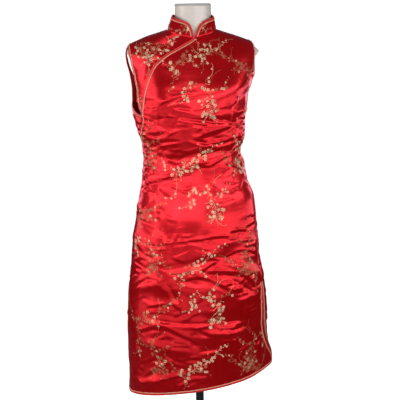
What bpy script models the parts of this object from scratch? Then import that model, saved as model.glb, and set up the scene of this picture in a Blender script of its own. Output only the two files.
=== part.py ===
"""A sleeveless cheongsam dress on a limbless dress form with a pole and a round base.

Metres, +Z up, origin at the middle of the base's underside. The wearer faces -Y, so +X is the
wearer's left. The dress is a set of thin walls: every panel is a grid of points on one garment
surface, which is worked out from a short table of level sections. An angle on a section is
counted from the middle of the front, positive towards the wearer's left.
"""
import math

import bmesh
import bpy
from mathutils import Vector

# ---------------------------------------------------------------- driving sizes
CLOTH_WALL = 0.0012
SEAM_GAP = 0.0004
LAP_DEPTH = CLOTH_WALL + 0.0015
LAP_ANGLE = 5.0
LAP_DROP = 0.006
LAP_LEVEL_START = 0.004
LAP_LEVEL_END = 0.020
UNDERARM_HEIGHT = 1.190
SHOULDER_TIP_HEIGHT = 1.387
NECKLINE_FRONT = 1.4060
NECKLINE_BACK = 1.4290
SLIT_TOP = 0.685
HEM_MIDDLE = 0.3847
HEM_TILT = 0.0397
HEM_FRONT_RISE = 0.007
HEM_WAVE = 0.008
CORNER_FLARE = 0.007
FLARE_ANGLE = 12.0
FLARE_TOP = 0.52
FLARE_RUN = 0.10
BUST_HEIGHT = 1.248
BUST_ANGLE = 34.0
BUST_RISE = 0.010
BUST_HEIGHT_SPREAD = 0.048
BUST_ANGLE_SPREAD = 20.0

COLLAR_WALL = 0.0016
COLLAR_STAND = 0.0368
COLLAR_LEAN = 0.0108
COLLAR_SIDEWAYS = 0.0042
COLLAR_SEAM_RISE = 0.0014
COLLAR_FACE_UP = 0.25
COLLAR_OPENING_MIDDLE = 0.7
COLLAR_OPENING_HALF = 0.9
COLLAR_ROUND_ANGLE = 4.3
COLLAR_END_STAND = 0.002
COLLAR_END_CROWDING = 1.75

BINDING_WIDTH = 0.0060
BINDING_THICKNESS = 0.0008
BINDING_GAP = 0.0010
TIP_LIFT = 0.0048
PIPING_GAP = 0.0006
PIPING_WIDTH = 0.0016
PIPING_HEIGHT = 0.0013
EDGE_COLUMN = BINDING_WIDTH + PIPING_GAP + PIPING_WIDTH + 0.0006
STEEPEST_STRETCH = 1.9
LAP_STRETCH = 1.15
LAP_ROW_EASE = 1.2
LAP_COLUMN_EASE = 1.5
LAP_EDGE_SHARE_MOST = 0.45
NECK_ROWS = 6
SIDE_PIPING_END = 1.105

FORM_BOTTOM = 0.700
FORM_SIDES = 48
POLE_RADIUS = 0.0125
BASE_RADIUS = 0.190
ROUND_SIDES = 40
FIT_GAP = 0.0003
SHARP_ANGLE = 40.0
SLOPE_STEP = 0.004

# Level sections of the garment: half width, depth to the front and to the back of the side
# line, shift of the middle towards the wearer's left and to the back, and how round the
# section is (1 is an ellipse, above 1 is a lens with its points at the sides).
SECTIONS = (
    # height, half_width, front, back, shift_x, shift_y, point
    (0.300, 0.217, 0.152, 0.150, -0.002, 0.000, 1.00),
    (0.424, 0.217, 0.150, 0.148, 0.002, 0.000, 1.00),
    (0.502, 0.213, 0.147, 0.146, -0.002, 0.000, 0.98),
    (0.580, 0.211, 0.143, 0.143, -0.003, 0.000, 0.96),
    (0.657, 0.205, 0.138, 0.141, -0.001, 0.000, 0.95),
    (0.732, 0.196, 0.132, 0.138, -0.005, 0.000, 0.94),
    (0.807, 0.188, 0.126, 0.135, -0.006, 0.000, 0.94),
    (0.881, 0.178, 0.119, 0.132, -0.002, 0.000, 0.94),
    (0.936, 0.171, 0.113, 0.127, -0.001, 0.000, 0.94),
    (0.990, 0.156, 0.105, 0.116, -0.004, 0.000, 0.96),
    (1.044, 0.148, 0.097, 0.102, -0.007, 0.000, 0.97),
    (1.079, 0.141, 0.093, 0.094, -0.011, 0.000, 0.98),
    (1.115, 0.150, 0.098, 0.093, -0.009, 0.001, 0.98),
    (1.168, 0.158, 0.111, 0.097, -0.014, 0.003, 0.98),
    (1.202, 0.165, 0.118, 0.101, -0.015, 0.004, 0.98),
    (1.237, 0.167, 0.120, 0.104, -0.014, 0.005, 0.98),
    (1.271, 0.174, 0.117, 0.105, -0.008, 0.006, 0.98),
    (1.306, 0.181, 0.110, 0.105, -0.006, 0.007, 1.00),
    (1.340, 0.186, 0.101, 0.102, -0.008, 0.008, 1.03),
    (1.357, 0.187, 0.095, 0.098, -0.008, 0.008, 1.06),
    (1.373, 0.184, 0.088, 0.094, -0.008, 0.009, 1.10),
    (1.387, 0.175, 0.081, 0.088, -0.008, 0.009, 1.12),
    (1.399, 0.150, 0.075, 0.082, -0.008, 0.010, 1.10),
    (1.409, 0.123, 0.070, 0.077, -0.0095, 0.010, 1.05),
    (1.416, 0.100, 0.066, 0.072, -0.0090, 0.009, 1.00),
    (1.422, 0.082, 0.064, 0.067, -0.0080, 0.008, 1.00),
    (1.4275, 0.066, 0.062, 0.064, -0.0080, 0.007, 1.00),
    (1.445, 0.066, 0.060, 0.061, -0.0085, 0.006, 1.00),
)

# Angles at which the panels end. Where the front and back columns agree, the side is sewn.
EDGES = (
    # height, right_front, right_back, left_front, left_back
    (0.300, 99.0, 102.5, 79.0, 82.5),
    (0.440, 99.0, 102.5, 76.0, 79.5),
    (0.500, 99.0, 102.0, 66.5, 70.0),
    (0.560, 98.5, 101.2, 61.5, 64.5),
    (0.620, 97.8, 99.6, 62.5, 64.5),
    (SLIT_TOP, 97.0, 97.0, 65.5, 65.5),
    (0.800, 92.0, 92.0, 70.0, 70.0),
    (0.950, 87.5, 87.5, 76.0, 76.0),
    (1.080, 84.5, 84.5, 78.0, 78.0),
    (1.115, 80.0, 80.0, 77.0, 77.0),
    (1.150, 71.0, 71.0, 72.0, 72.0),
    (UNDERARM_HEIGHT, 62.0, 62.0, 66.0, 66.0),
    (1.205, 63.0, 78.0, 71.0, 84.0),
    (1.225, 66.0, 92.0, 77.0, 98.0),
    (1.250, 68.0, 98.0, 79.0, 104.0),
    (1.297, 70.0, 100.0, 79.0, 106.0),
    (1.340, 70.0, 98.0, 76.0, 102.0),
    (1.370, 76.0, 94.0, 79.0, 96.0),
    (SHOULDER_TIP_HEIGHT, 90.0, 90.0, 90.0, 90.0),
    (1.450, 90.0, 90.0, 90.0, 90.0),
)

# The curved edge where the large front crosses to the wearer's right.
PLACKET = (
    # height, angle
    (UNDERARM_HEIGHT, 62.0),
    (1.223, 57.7),
    (1.255, 54.6),
    (1.290, 49.0),
    (1.328, 39.9),
    (1.359, 27.4),
    (1.384, 13.0),
    (NECKLINE_FRONT, 0.0),
)

# The largest folds: long soft troughs (below zero) and ridges (above zero).
FOLDS = (
    # angle, height, half_length, half_width, slope, rise
    (16.0, 1.090, 0.095, 0.012, 0.18, -0.0030),
    (2.0, 1.060, 0.100, 0.014, 0.30, 0.0030),
    (-38.0, 1.070, 0.045, 0.011, -0.15, -0.0028),
    (62.0, 1.110, 0.045, 0.012, 0.45, -0.0035),
    (-6.0, 0.770, 0.120, 0.014, 0.14, -0.0030),
    (44.0, 0.740, 0.080, 0.015, -0.35, 0.0035),
    (-52.0, 0.700, 0.070, 0.014, 0.30, 0.0035),
    (20.0, 0.600, 0.110, 0.016, -0.22, -0.0035),
    (-30.0, 0.520, 0.100, 0.015, -0.12, 0.0040),
    (-48.0, 0.410, 0.080, 0.014, 0.25, 0.0040),
    (150.0, 1.090, 0.080, 0.014, 0.15, -0.0030),
    (205.0, 1.060, 0.080, 0.014, -0.20, 0.0030),
    (180.0, 0.700, 0.120, 0.018, 0.10, -0.0035),
    (230.0, 0.560, 0.100, 0.018, -0.20, 0.0035),
    (130.0, 0.540, 0.090, 0.016, 0.25, 0.0035),
)

# How far the form stays inside the garment surface.
EASE = (
    # height, at_front_and_back, at_sides
    (0.680, 0.024, 0.030),
    (0.850, 0.014, 0.018),
    (1.000, 0.010, 0.010),
    (1.080, 0.009, 0.009),
    (1.200, 0.006, 0.018),
    (1.250, 0.005, 0.020),
    (1.300, 0.005, 0.015),
    (1.340, 0.005, 0.011),
    (1.362, 0.005, 0.0034),
    (1.385, 0.005, 0.0021),
    (1.410, 0.005, 0.0019),
    (1.427, 0.006, 0.0040),
)

# Heights of the form's sections, closer together where its shoulders turn.
FORM_LEVELS = (0.700, 0.708, 0.760, 0.820, 0.880, 0.940, 0.990, 1.030, 1.065, 1.090, 1.120, 1.160,
               1.195, 1.225, 1.250, 1.280, 1.310, 1.335, 1.352, 1.366, 1.378, 1.387, 1.395, 1.403,
               1.410, 1.416, 1.421)

# The form's left shoulder stands out of the armhole a little.
SHOULDER_CAP_RISE = 0.0135
SHOULDER_CAP_ANGLE = 88.0
SHOULDER_CAP_SPREAD = 6.0
SHOULDER_CAP_HEIGHT = 1.358
SHOULDER_CAP_HEIGHT_SPREAD = 0.013

# The neck of the form above its shoulders.
FORM_NECK = (
    # height, half_width, front, back, shift_x, shift_y
    (1.4270, 0.0610, 0.0545, 0.0570, -0.0075, 0.006),
    (1.4340, 0.0560, 0.0525, 0.0545, -0.0050, 0.005),
    (1.4500, 0.0530, 0.0510, 0.0520, -0.0025, 0.004),
    (1.4750, 0.0518, 0.0505, 0.0515, -0.0018, 0.004),
    (1.4915, 0.0512, 0.0505, 0.0515, -0.0016, 0.004),
    (1.4955, 0.0503, 0.0493, 0.0503, -0.0016, 0.004),
    (1.4970, 0.0475, 0.0465, 0.0475, -0.0016, 0.004),
)

# Turned outline of the base: radius and height, from the underside up to the socket's mouth.
BASE_OUTLINE = (
    # radius, height
    (BASE_RADIUS, 0.0000),
    (BASE_RADIUS, 0.0060),
    (BASE_RADIUS - 0.005, 0.0100),
    (0.060, 0.0140),
    (0.034, 0.0200),
    (0.024, 0.0300),
    (0.021, 0.0550),
    (POLE_RADIUS + 0.0050, 0.0580),
)

# ---------------------------------------------------------------- colours
MATERIALS = {
    # name: (colour, roughness, metallic)
    "brocade_satin": ((0.50, 0.010, 0.025), 0.38, 0.30),
    "binding_satin": ((0.62, 0.045, 0.020), 0.42, 0.20),
    "gold_piping": ((0.85, 0.42, 0.20), 0.45, 0.30),
    "form_shell": ((0.78, 0.68, 0.60), 0.35, 0.0),
    "black_metal": ((0.02, 0.02, 0.02), 0.35, 0.8),
}


def clear_scene():
    """Take away whatever the file opened with."""
    for old in list(bpy.data.objects):
        bpy.data.objects.remove(old, do_unlink=True)


def material(name):
    """The named Principled material, made once."""
    found = bpy.data.materials.get(name)
    if found:
        return found
    colour, roughness, metallic = MATERIALS[name]
    made = bpy.data.materials.new(name)
    made.use_nodes = True
    shader = made.node_tree.nodes["Principled BSDF"]
    shader.inputs["Base Color"].default_value = (*colour, 1.0)
    shader.inputs["Roughness"].default_value = roughness
    shader.inputs["Metallic"].default_value = metallic
    return made


# ---------------------------------------------------------------- the garment surface
def at_height(table, height):
    """Every column of a table at one height, on smooth curves that never overshoot a row."""
    if height <= table[0][0]:
        return table[0][1:]
    if height >= table[-1][0]:
        return table[-1][1:]
    row = next(i for i in range(len(table) - 1) if table[i][0] <= height < table[i + 1][0])
    low, high = table[row], table[row + 1]
    span = high[0] - low[0]
    along = (height - low[0]) / span
    values = []
    for column in range(1, len(low)):
        rise = (high[column] - low[column]) / span
        start, end = [], []
        for slopes, index in ((start, row), (end, row + 1)):
            if 0 < index < len(table) - 1:
                before = table[index][column] - table[index - 1][column]
                before /= table[index][0] - table[index - 1][0]
                after = table[index + 1][column] - table[index][column]
                after /= table[index + 1][0] - table[index][0]
                same_way = before * after > 0
                slopes.append(2 * before * after / (before + after) if same_way else 0.0)
            else:
                slopes.append(rise)
        square, cube = along ** 2, along ** 3
        values.append((2 * cube - 3 * square + 1) * low[column]
                      + (cube - 2 * square + along) * span * start[0]
                      + (3 * square - 2 * cube) * high[column]
                      + (cube - square) * span * end[0])
    return tuple(values)


def lerp(start, end, share):
    return start + (end - start) * share


def bell(distance, spread):
    """A smooth hump, 1 in the middle and nearly 0 past twice its spread."""
    return math.exp(-(distance / spread) ** 2)


def ramp(value, start, end):
    """0 before start, 1 past end, smooth between."""
    share = min(max((value - start) / (end - start), 0.0), 1.0)
    return share * share * (3 - 2 * share)


def turn_between(angle, middle):
    """Signed angle from middle to angle, the short way round."""
    return (angle - middle + 180.0) % 360.0 - 180.0


def surface_rise(angle, height, half_width):
    """How far bust, folds and the flared slit corner lift the cloth."""
    rise = 0.0
    for side in (-1, 1):
        rise += BUST_RISE * bell(turn_between(angle, side * BUST_ANGLE), BUST_ANGLE_SPREAD) \
            * bell(height - BUST_HEIGHT, BUST_HEIGHT_SPREAD)
    for fold_angle, fold_height, half_length, fold_width, slope, fold_rise in FOLDS:
        across = math.radians(turn_between(angle, fold_angle)) * half_width
        drop = height - fold_height - slope * across
        rise += fold_rise * bell(across, half_length) * bell(drop, fold_width)
    corner = at_height(EDGES, HEM_MIDDLE + HEM_TILT)[2]
    rise += CORNER_FLARE * bell(turn_between(angle, corner), FLARE_ANGLE) \
        * ramp(FLARE_TOP - height, 0.0, FLARE_RUN)
    return rise


def section_point(angle, half_width, front, back, point=1.0):
    """A point of one level section, around its own middle."""
    turn = math.radians(angle)
    depth_share = math.cos(turn)
    depth = front if depth_share > 0 else back
    depth_share = math.copysign(abs(depth_share) ** point, depth_share)
    return Vector((half_width * math.sin(turn), -depth * depth_share, 0.0))


def garment_point(angle, height):
    """A point in the middle of the cloth."""
    half_width, front, back, shift_x, shift_y, point = at_height(SECTIONS, height)
    flat = section_point(angle, half_width, front, back, point)
    rise = surface_rise(angle, height, half_width)
    if rise and flat.length > 0:
        flat += flat.normalized() * rise
    return flat + Vector((shift_x, shift_y, height))


def garment_normal(angle, height):
    """The outward direction of the cloth there."""
    step_angle, step_height = 0.5, 0.0008
    round_it = garment_point(angle + step_angle, height) - garment_point(angle - step_angle, height)
    up_it = garment_point(angle, height + step_height) - garment_point(angle, height - step_height)
    return round_it.cross(up_it).normalized()


def neckline_height(angle):
    """The neckline dips to the throat and is nearly level round the nape."""
    share = 1.0 - (1.0 - abs(math.sin(math.radians(angle) / 2))) ** 2
    return lerp(NECKLINE_FRONT, NECKLINE_BACK, share)


def hem_height(angle):
    """The hem hangs lower on the wearer's right."""
    turn = math.radians(angle)
    return (HEM_MIDDLE + HEM_TILT * math.sin(turn) - HEM_WAVE * math.sin(2 * turn)
            + HEM_FRONT_RISE * max(math.cos(turn), 0.0) ** 2)


# ---------------------------------------------------------------- solids
def solid(name, points, faces, material_name):
    """One closed object with its faces pointing out."""
    mesh = bpy.data.meshes.new(name)
    mesh.from_pydata(points, [], faces)
    shape = bmesh.new()
    shape.from_mesh(mesh)
    bmesh.ops.triangulate(shape, faces=shape.faces[:])
    if shape.calc_volume(signed=True) < 0:
        bmesh.ops.reverse_faces(shape, faces=shape.faces[:])
    shape.to_mesh(mesh)
    shape.free()
    mesh.shade_smooth()
    mesh.set_sharp_from_angle(angle=math.radians(SHARP_ANGLE))
    mesh.materials.append(material(material_name))
    made = bpy.data.objects.new(name, mesh)
    bpy.context.scene.collection.objects.link(made)
    return made


def wall_from_grid(name, grid, normals, thickness, material_name):
    """A cloth wall: the grid moved out and in by half its thickness, closed round the edge."""
    rows, columns = len(grid), len(grid[0])
    points = [p + n * thickness / 2 for line, ns in zip(grid, normals) for p, n in zip(line, ns)]
    points += [p - n * thickness / 2 for line, ns in zip(grid, normals) for p, n in zip(line, ns)]
    below = rows * columns
    faces = []
    for r in range(rows - 1):
        for c in range(columns - 1):
            a, b = r * columns + c, (r + 1) * columns + c
            faces.append((a, a + 1, b + 1, b))
            faces.append((below + a, below + b, below + b + 1, below + a + 1))
    rim = [c for c in range(columns)]
    rim += [r * columns + columns - 1 for r in range(1, rows)]
    rim += [(rows - 1) * columns + c for c in range(columns - 2, -1, -1)]
    rim += [r * columns for r in range(rows - 2, 0, -1)]
    for here, there in zip(rim, rim[1:] + rim[:1]):
        faces.append((there, here, below + here, below + there))
    return solid(name, points, faces, material_name)


def tube_from_rings(name, rings, material_name):
    """A solid through rings of points, capped at both ends."""
    count = len(rings[0])
    points = [point for ring in rings for point in ring]
    faces = []
    for this in range(0, (len(rings) - 1) * count, count):
        for i in range(count):
            j = (i + 1) % count
            faces.append((this + i, this + j, this + count + j, this + count + i))
    faces.append(tuple(range(count - 1, -1, -1)))
    faces.append(tuple((len(rings) - 1) * count + i for i in range(count)))
    return solid(name, points, faces, material_name)


# ---------------------------------------------------------------- panel grids
HEM_ROW = EDGE_COLUMN / (SLIT_TOP - HEM_MIDDLE)
SKIRT_ROWS = [0.0] + [lerp(HEM_ROW, 1.0, i / 7) for i in range(8)]
SKIRT_COUNT = len(SKIRT_ROWS) - 1
BODICE_HEIGHTS = [lerp(SLIT_TOP, UNDERARM_HEIGHT, i / 14) for i in range(15)]
TIP_SHARE = (SHOULDER_TIP_HEIGHT - UNDERARM_HEIGHT) / (neckline_height(90.0) - UNDERARM_HEIGHT)
TOP_ROWS = [0.0, 0.03, 0.065, 0.11, 0.17, 0.26, 0.38, 0.50, 0.61, 0.70, 0.76, 0.80]
TOP_ROWS += [lerp(TIP_SHARE, 1.0, share) for share in (0.0, 0.22, 0.42, 0.60, 0.76, 0.89, 1.0)]
PLACKET_LINE = [(-at_height(PLACKET, height)[0], height) for height in
                (lerp(UNDERARM_HEIGHT, NECKLINE_FRONT, i / 60) for i in range(61))]


def side_angles(panel, height):
    """The two end angles of a panel at a height, set back by half the seam gap."""
    right_front, right_back, left_front, left_back = at_height(EDGES, height)
    if SLIT_TOP <= height <= UNDERARM_HEIGHT:
        right_back, left_back = right_front, left_front
    right_gap = SEAM_GAP / 2 * angle_per_metre(-right_front, height)
    left_gap = SEAM_GAP / 2 * angle_per_metre(left_front, height)
    if panel == "front":
        return -right_front + right_gap, left_front - left_gap
    return left_back + left_gap, 360.0 - right_back - right_gap


def angle_per_metre(angle, height):
    """Degrees round the section for each metre of cloth there."""
    return 1.0 / (garment_point(angle + 0.5, height) - garment_point(angle - 0.5, height)).length


def edge_stretch(panel, side, height):
    """How much longer than square a level step across a slanting edge is."""
    low, high = (side_angles(panel, height + move)[side] for move in (-SLOPE_STEP, SLOPE_STEP))
    run = (high - low) / angle_per_metre(low, height) / (2 * SLOPE_STEP)
    return min(math.sqrt(1.0 + run * run), STEEPEST_STRETCH)


def column_angles(start, end, start_step, end_step, columns):
    """Angles across a row, with a narrow column along each edge for what is sewn there."""
    inner = columns - 2
    first, last = start + start_step, end - end_step
    return [start] + [lerp(first, last, i / inner) for i in range(inner + 1)] + [end]


def panel_places(panel, columns):
    """Rows of (angle, height) from the hem up to the neckline, and each row's edge stretches."""
    places, stretches = [], []
    top_start, top_end = (0.0, 90.0) if panel == "front" else (90.0, 270.0)

    def add_row(heights_at_ends, height_at):
        """height_at gives a height from an angle and from the share across the row."""
        angles = [side_angles(panel, height)[side] for side, height in enumerate(heights_at_ends)]
        slants = [edge_stretch(panel, side, height) for side, height in enumerate(heights_at_ends)]
        if panel == "front" and heights_at_ends[0] > UNDERARM_HEIGHT:
            angles[0] = -at_height(PLACKET, heights_at_ends[0])[0]
            slants[0] = placket_stretch(heights_at_ends[0])
        start, end = angles
        steps = [EDGE_COLUMN * slant * angle_per_metre(angle, height)
                 for slant, angle, height in zip(slants, angles, heights_at_ends)]
        line = column_angles(start, end, steps[0], steps[1], columns)
        places.append([(angle, height_at(angle, (angle - start) / (end - start))) for angle in line])
        stretches.append(slants)

    for row in SKIRT_ROWS[:-1]:
        ends = []
        for side in (0, 1):
            angle = side_angles(panel, SLIT_TOP)[side]
            for _ in range(4):
                angle = side_angles(panel, lerp(hem_height(angle), SLIT_TOP, row))[side]
            ends.append(lerp(hem_height(angle), SLIT_TOP, row))
        add_row(ends, lambda angle, share: lerp(hem_height(angle), SLIT_TOP, row))
    for level in BODICE_HEIGHTS[:-1]:
        add_row([level, level], lambda angle, share: level)
    for row in TOP_ROWS:
        ends = [lerp(UNDERARM_HEIGHT, neckline_height(top), row) for top in (top_start, top_end)]
        add_row(ends, lambda angle, share: lerp(
            UNDERARM_HEIGHT, neckline_height(lerp(top_start, top_end, share)), row))
    return places, stretches


def placket_stretch(height):
    """How much longer than square a level step across the slanting placket is."""
    low, high = (-at_height(PLACKET, height + move)[0] for move in (-SLOPE_STEP, 0.0))
    run = (high - low) / angle_per_metre(low, height) / SLOPE_STEP
    return min(math.sqrt(1.0 + run * run), STEEPEST_STRETCH)


def under_lap_places(columns):
    """Rows of (angle, height) across the small right front, from the throat to the underarm."""
    outer = [(-90.0 * i / NECK_ROWS, neckline_height(90.0 * i / NECK_ROWS)) for i in range(NECK_ROWS)]
    for row in reversed(TOP_ROWS):
        height = lerp(UNDERARM_HEIGHT, neckline_height(90.0), row)
        outer.append((side_angles("front", height)[0], height))
    last = len(outer) - 1
    places = []
    for index, (outer_angle, outer_height) in enumerate(outer):
        height = lerp(NECKLINE_FRONT, UNDERARM_HEIGHT, (index / last) ** LAP_ROW_EASE)
        inner_angle = -at_height(PLACKET, height)[0] + LAP_ANGLE
        inner_height = height - LAP_DROP
        inner_end = garment_point(inner_angle, inner_height)
        width = (garment_point(outer_angle, outer_height) - inner_end).length
        reach = 1.0 - min(EDGE_COLUMN * LAP_STRETCH / width, LAP_EDGE_SHARE_MOST)
        shares = [reach * (1 - (1 - c / (columns - 1)) ** LAP_COLUMN_EASE) for c in range(columns)]
        places.append([(lerp(inner_angle, outer_angle, share), lerp(inner_height, outer_height, share))
                       for share in shares + [1.0]])
    return places


def under_lap_sink(angle, height):
    """The small front lies one wall deeper where the large front covers it."""
    if angle > -at_height(PLACKET, height)[0]:
        return LAP_DEPTH
    half_width = at_height(SECTIONS, height)[0]
    nearest = min(math.hypot(math.radians(angle - line_angle) * half_width, height - line_height)
                  for line_angle, line_height in PLACKET_LINE)
    return LAP_DEPTH * (1.0 - ramp(nearest, LAP_LEVEL_START, LAP_LEVEL_END))


def panel(name, places, sink=None):
    """Build a cloth panel and give back its outer face, for what is sewn on it."""
    grid, normals, outside = [], [], []
    for line in places:
        directions = [garment_normal(angle, height) for angle, height in line]
        row = [garment_point(angle, height) for angle, height in line]
        if sink:
            row = [p - n * sink(angle, height) for p, n, (angle, height) in zip(row, directions, line)]
        grid.append(row)
        normals.append(directions)
        outside.append([p + n * CLOTH_WALL / 2 for p, n in zip(row, directions)])
    wall_from_grid(name, grid, normals, CLOTH_WALL, "brocade_satin")
    return outside, normals


def collar_grid(columns, rows):
    """The standing collar, from its right front end round the nape to its left front end."""
    start = COLLAR_OPENING_MIDDLE + COLLAR_OPENING_HALF
    end = COLLAR_OPENING_MIDDLE - COLLAR_OPENING_HALF + 360.0
    grid, normals = [], []
    for r in range(rows + 1):
        line, directions = [], []
        for c in range(columns + 1):
            from_middle = 2 * c / columns - 1
            eased = math.copysign(1 - (1 - abs(from_middle)) ** COLLAR_END_CROWDING, from_middle)
            angle = lerp(start, end, (1 + eased) / 2)
            low = neckline_height(angle)
            foot = garment_point(angle, low)
            from_end = min(angle - start, end - angle)
            stand = lerp(COLLAR_STAND, COLLAR_END_STAND, math.exp(-from_end / COLLAR_ROUND_ANGLE))
            lean = Vector((foot.x, foot.y, 0.0)).normalized()
            drawn_in = lean * COLLAR_LEAN - Vector((COLLAR_SIDEWAYS, 0, 0))
            line.append(foot + Vector((0, 0, COLLAR_SEAM_RISE + stand * r / rows))
                        - drawn_in * (stand / COLLAR_STAND) * r / rows)
            directions.append((lean + Vector((0, 0, COLLAR_FACE_UP))).normalized())
        grid.append(line)
        normals.append(directions)
    return grid, normals


# ---------------------------------------------------------------- bindings and piping
def edge_path(outside, normals, steps):
    """Follow panel edges: each step is an edge (row, column), its inner neighbour and a stretch."""
    path = []
    for (row, column), (inner_row, inner_column), stretch in steps:
        edge, inner = outside[row][column], outside[inner_row][inner_column]
        path.append((edge, (inner - edge).normalized(), normals[row][column], stretch))
    return path


def strip(name, path):
    """A flat binding along an edge, just clear of the cloth."""
    rings = []
    for edge, inward, normal, stretch in path:
        low, high = normal * BINDING_GAP, normal * (BINDING_GAP + BINDING_THICKNESS)
        across = inward * BINDING_WIDTH * stretch
        rings.append([edge + low, edge + high, edge + across + high, edge + across + low])
    return tube_from_rings(name, rings, "binding_satin")


def piping(name, path, inset=BINDING_WIDTH + PIPING_GAP):
    """A fine three-sided cord beside the binding."""
    rings = []
    for index, (edge, inward, normal, stretch) in enumerate(path):
        start = inset(index) if callable(inset) else inset
        near = edge + inward * start * stretch + normal * BINDING_GAP
        far = edge + inward * (start * stretch + PIPING_WIDTH) + normal * BINDING_GAP
        rings.append([near, (near + far) / 2 + normal * PIPING_HEIGHT, far])
    return tube_from_rings(name, rings, "gold_piping")


def skirt_edge_steps(rows_up, columns):
    """Down one slit edge, along the hem and up the other slit edge."""
    mitre = math.sqrt(2.0)
    steps = [((r, 0), (r, 1), 1.0) for r in range(rows_up, 0, -1)]
    steps.append(((0, 0), (1, 1), mitre))
    steps += [((0, c), (1, c), 1.0) for c in range(1, columns)]
    steps.append(((0, columns), (1, columns - 1), mitre))
    steps += [((r, columns), (r, columns - 1), 1.0) for r in range(1, rows_up + 1)]
    return steps


def side_steps(rows, column, inner_column, stretches=None, side=0):
    """Along one side edge of a panel."""
    return [((r, column), (r, inner_column), stretches[r][side] if stretches else LAP_STRETCH)
            for r in rows]


def meeting(one, other, next_up):
    """The point that two edge paths share at the shoulder seam; the seam runs on to next_up."""
    outward = (one[2] + other[2]).normalized()
    return ((one[0] + other[0]) / 2 + outward * TIP_LIFT, (next_up - one[0]).normalized(), outward, 1.0)


# ---------------------------------------------------------------- the dress
FRONT_COLUMNS, BACK_COLUMNS, LAP_COLUMNS = 20, 18, 7
COLLAR_COLUMNS, COLLAR_ROWS = 34, 3
LAP_ROWS_UNDER_PLACKET = 4
TOP_START = SKIRT_COUNT + len(BODICE_HEIGHTS) - 1
TIP_ROW = TOP_START + TOP_ROWS.index(TIP_SHARE)


def build_dress():
    front_places, front_stretch = panel_places("front", FRONT_COLUMNS)
    back_places, back_stretch = panel_places("back", BACK_COLUMNS)
    front, front_n = panel("dress_front", front_places)
    back, back_n = panel("dress_back", back_places)
    lap, lap_n = panel("dress_under_lap", under_lap_places(LAP_COLUMNS), under_lap_sink)

    for name, outside, normals, columns in (("front", front, front_n, FRONT_COLUMNS),
                                            ("back", back, back_n, BACK_COLUMNS)):
        path = edge_path(outside, normals, skirt_edge_steps(SKIRT_COUNT, columns))
        strip("binding_hem_" + name, path)
        piping("piping_hem_" + name, path)

    upward, downward = range(TOP_START, TIP_ROW + 1), range(TIP_ROW, TOP_START - 1, -1)
    up = edge_path(front, front_n, side_steps(upward, FRONT_COLUMNS, FRONT_COLUMNS - 1, front_stretch, 1))
    down = edge_path(back, back_n, side_steps(downward, 0, 1, back_stretch, 0))
    armhole = up[:-1] + [meeting(up[-1], down[0], front[TIP_ROW + 1][FRONT_COLUMNS])] + down[1:]
    strip("binding_armhole_left", armhole)
    piping("piping_armhole_left", armhole)

    tip_line = len(lap) - 1 - TOP_ROWS.index(TIP_SHARE)
    lap_start = len(lap) - 1 - LAP_ROWS_UNDER_PLACKET
    up = edge_path(lap, lap_n, side_steps(range(lap_start, tip_line - 1, -1),
                                          LAP_COLUMNS, LAP_COLUMNS - 1))
    down = edge_path(back, back_n, side_steps(downward, BACK_COLUMNS, BACK_COLUMNS - 1, back_stretch, 1))
    armhole = up[:-1] + [meeting(up[-1], down[0], back[TIP_ROW + 1][BACK_COLUMNS])] + down[1:]
    strip("binding_armhole_right", armhole)
    piping("piping_armhole_right", armhole)

    waist_row = next(i for i, height in enumerate(BODICE_HEIGHTS) if height > SIDE_PIPING_END)
    rows = range(len(front) - 1, SKIRT_COUNT + waist_row - 1, -1)
    placket = edge_path(front, front_n, side_steps(rows, 0, 1, front_stretch, 0))
    bound_rows = len(front) - TOP_START
    strip("binding_placket", placket[:bound_rows])
    piping("piping_placket", placket,
           inset=lambda i: BINDING_WIDTH + PIPING_GAP if i < bound_rows else PIPING_GAP)

    columns, rows = COLLAR_COLUMNS, COLLAR_ROWS
    grid, normals = collar_grid(columns, rows)
    wall_from_grid("collar", grid, normals, COLLAR_WALL, "brocade_satin")
    outside = [[p + n * COLLAR_WALL / 2 for p, n in zip(line, ns)] for line, ns in zip(grid, normals)]
    path = edge_path(outside, normals, [((rows, c), (rows - 1, c), 1.0) for c in range(1, columns)])
    strip("binding_collar", path)
    piping("piping_collar", path)


# ---------------------------------------------------------------- form and stand
def form_point(angle, height):
    """A point on the form: the garment surface drawn in by its ease."""
    front_ease, side_ease = at_height(EASE, height)
    drawn_in = lerp(front_ease, side_ease, math.sin(math.radians(angle)) ** 2)
    drawn_in -= SHOULDER_CAP_RISE * bell(turn_between(angle, SHOULDER_CAP_ANGLE), SHOULDER_CAP_SPREAD) \
        * bell(height - SHOULDER_CAP_HEIGHT, SHOULDER_CAP_HEIGHT_SPREAD)
    half_width, front, back, shift_x, shift_y, point = at_height(SECTIONS, height)
    flat = section_point(angle, half_width, front, back, point)
    return flat + Vector((shift_x, shift_y, height)) - garment_normal(angle, height) * drawn_in


def build_form():
    turns = [360.0 * i / FORM_SIDES for i in range(FORM_SIDES)]
    rings = [[form_point(turn, height) for turn in turns] for height in FORM_LEVELS]
    for point in rings[0]:
        point.z = FORM_BOTTOM
    for height, half_width, front, back, shift_x, shift_y in FORM_NECK:
        shift = Vector((shift_x, shift_y, height))
        rings.append([section_point(turn, half_width, front, back) + shift for turn in turns])
    tube_from_rings("dress_form", rings, "form_shell")


def turned(name, outline, material_name):
    """A solid turned round the upright axis."""
    rings = []
    for radius, height in outline:
        rings.append([Vector((radius * math.cos(2 * math.pi * i / ROUND_SIDES),
                              radius * math.sin(2 * math.pi * i / ROUND_SIDES), height))
                      for i in range(ROUND_SIDES)])
    return tube_from_rings(name, rings, material_name)


def build_stand():
    turned("stand_base", BASE_OUTLINE, "black_metal")
    foot = BASE_OUTLINE[-1][1] + FIT_GAP
    turned("stand_pole", ((POLE_RADIUS, foot), (POLE_RADIUS, FORM_BOTTOM - FIT_GAP)), "black_metal")


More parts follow.
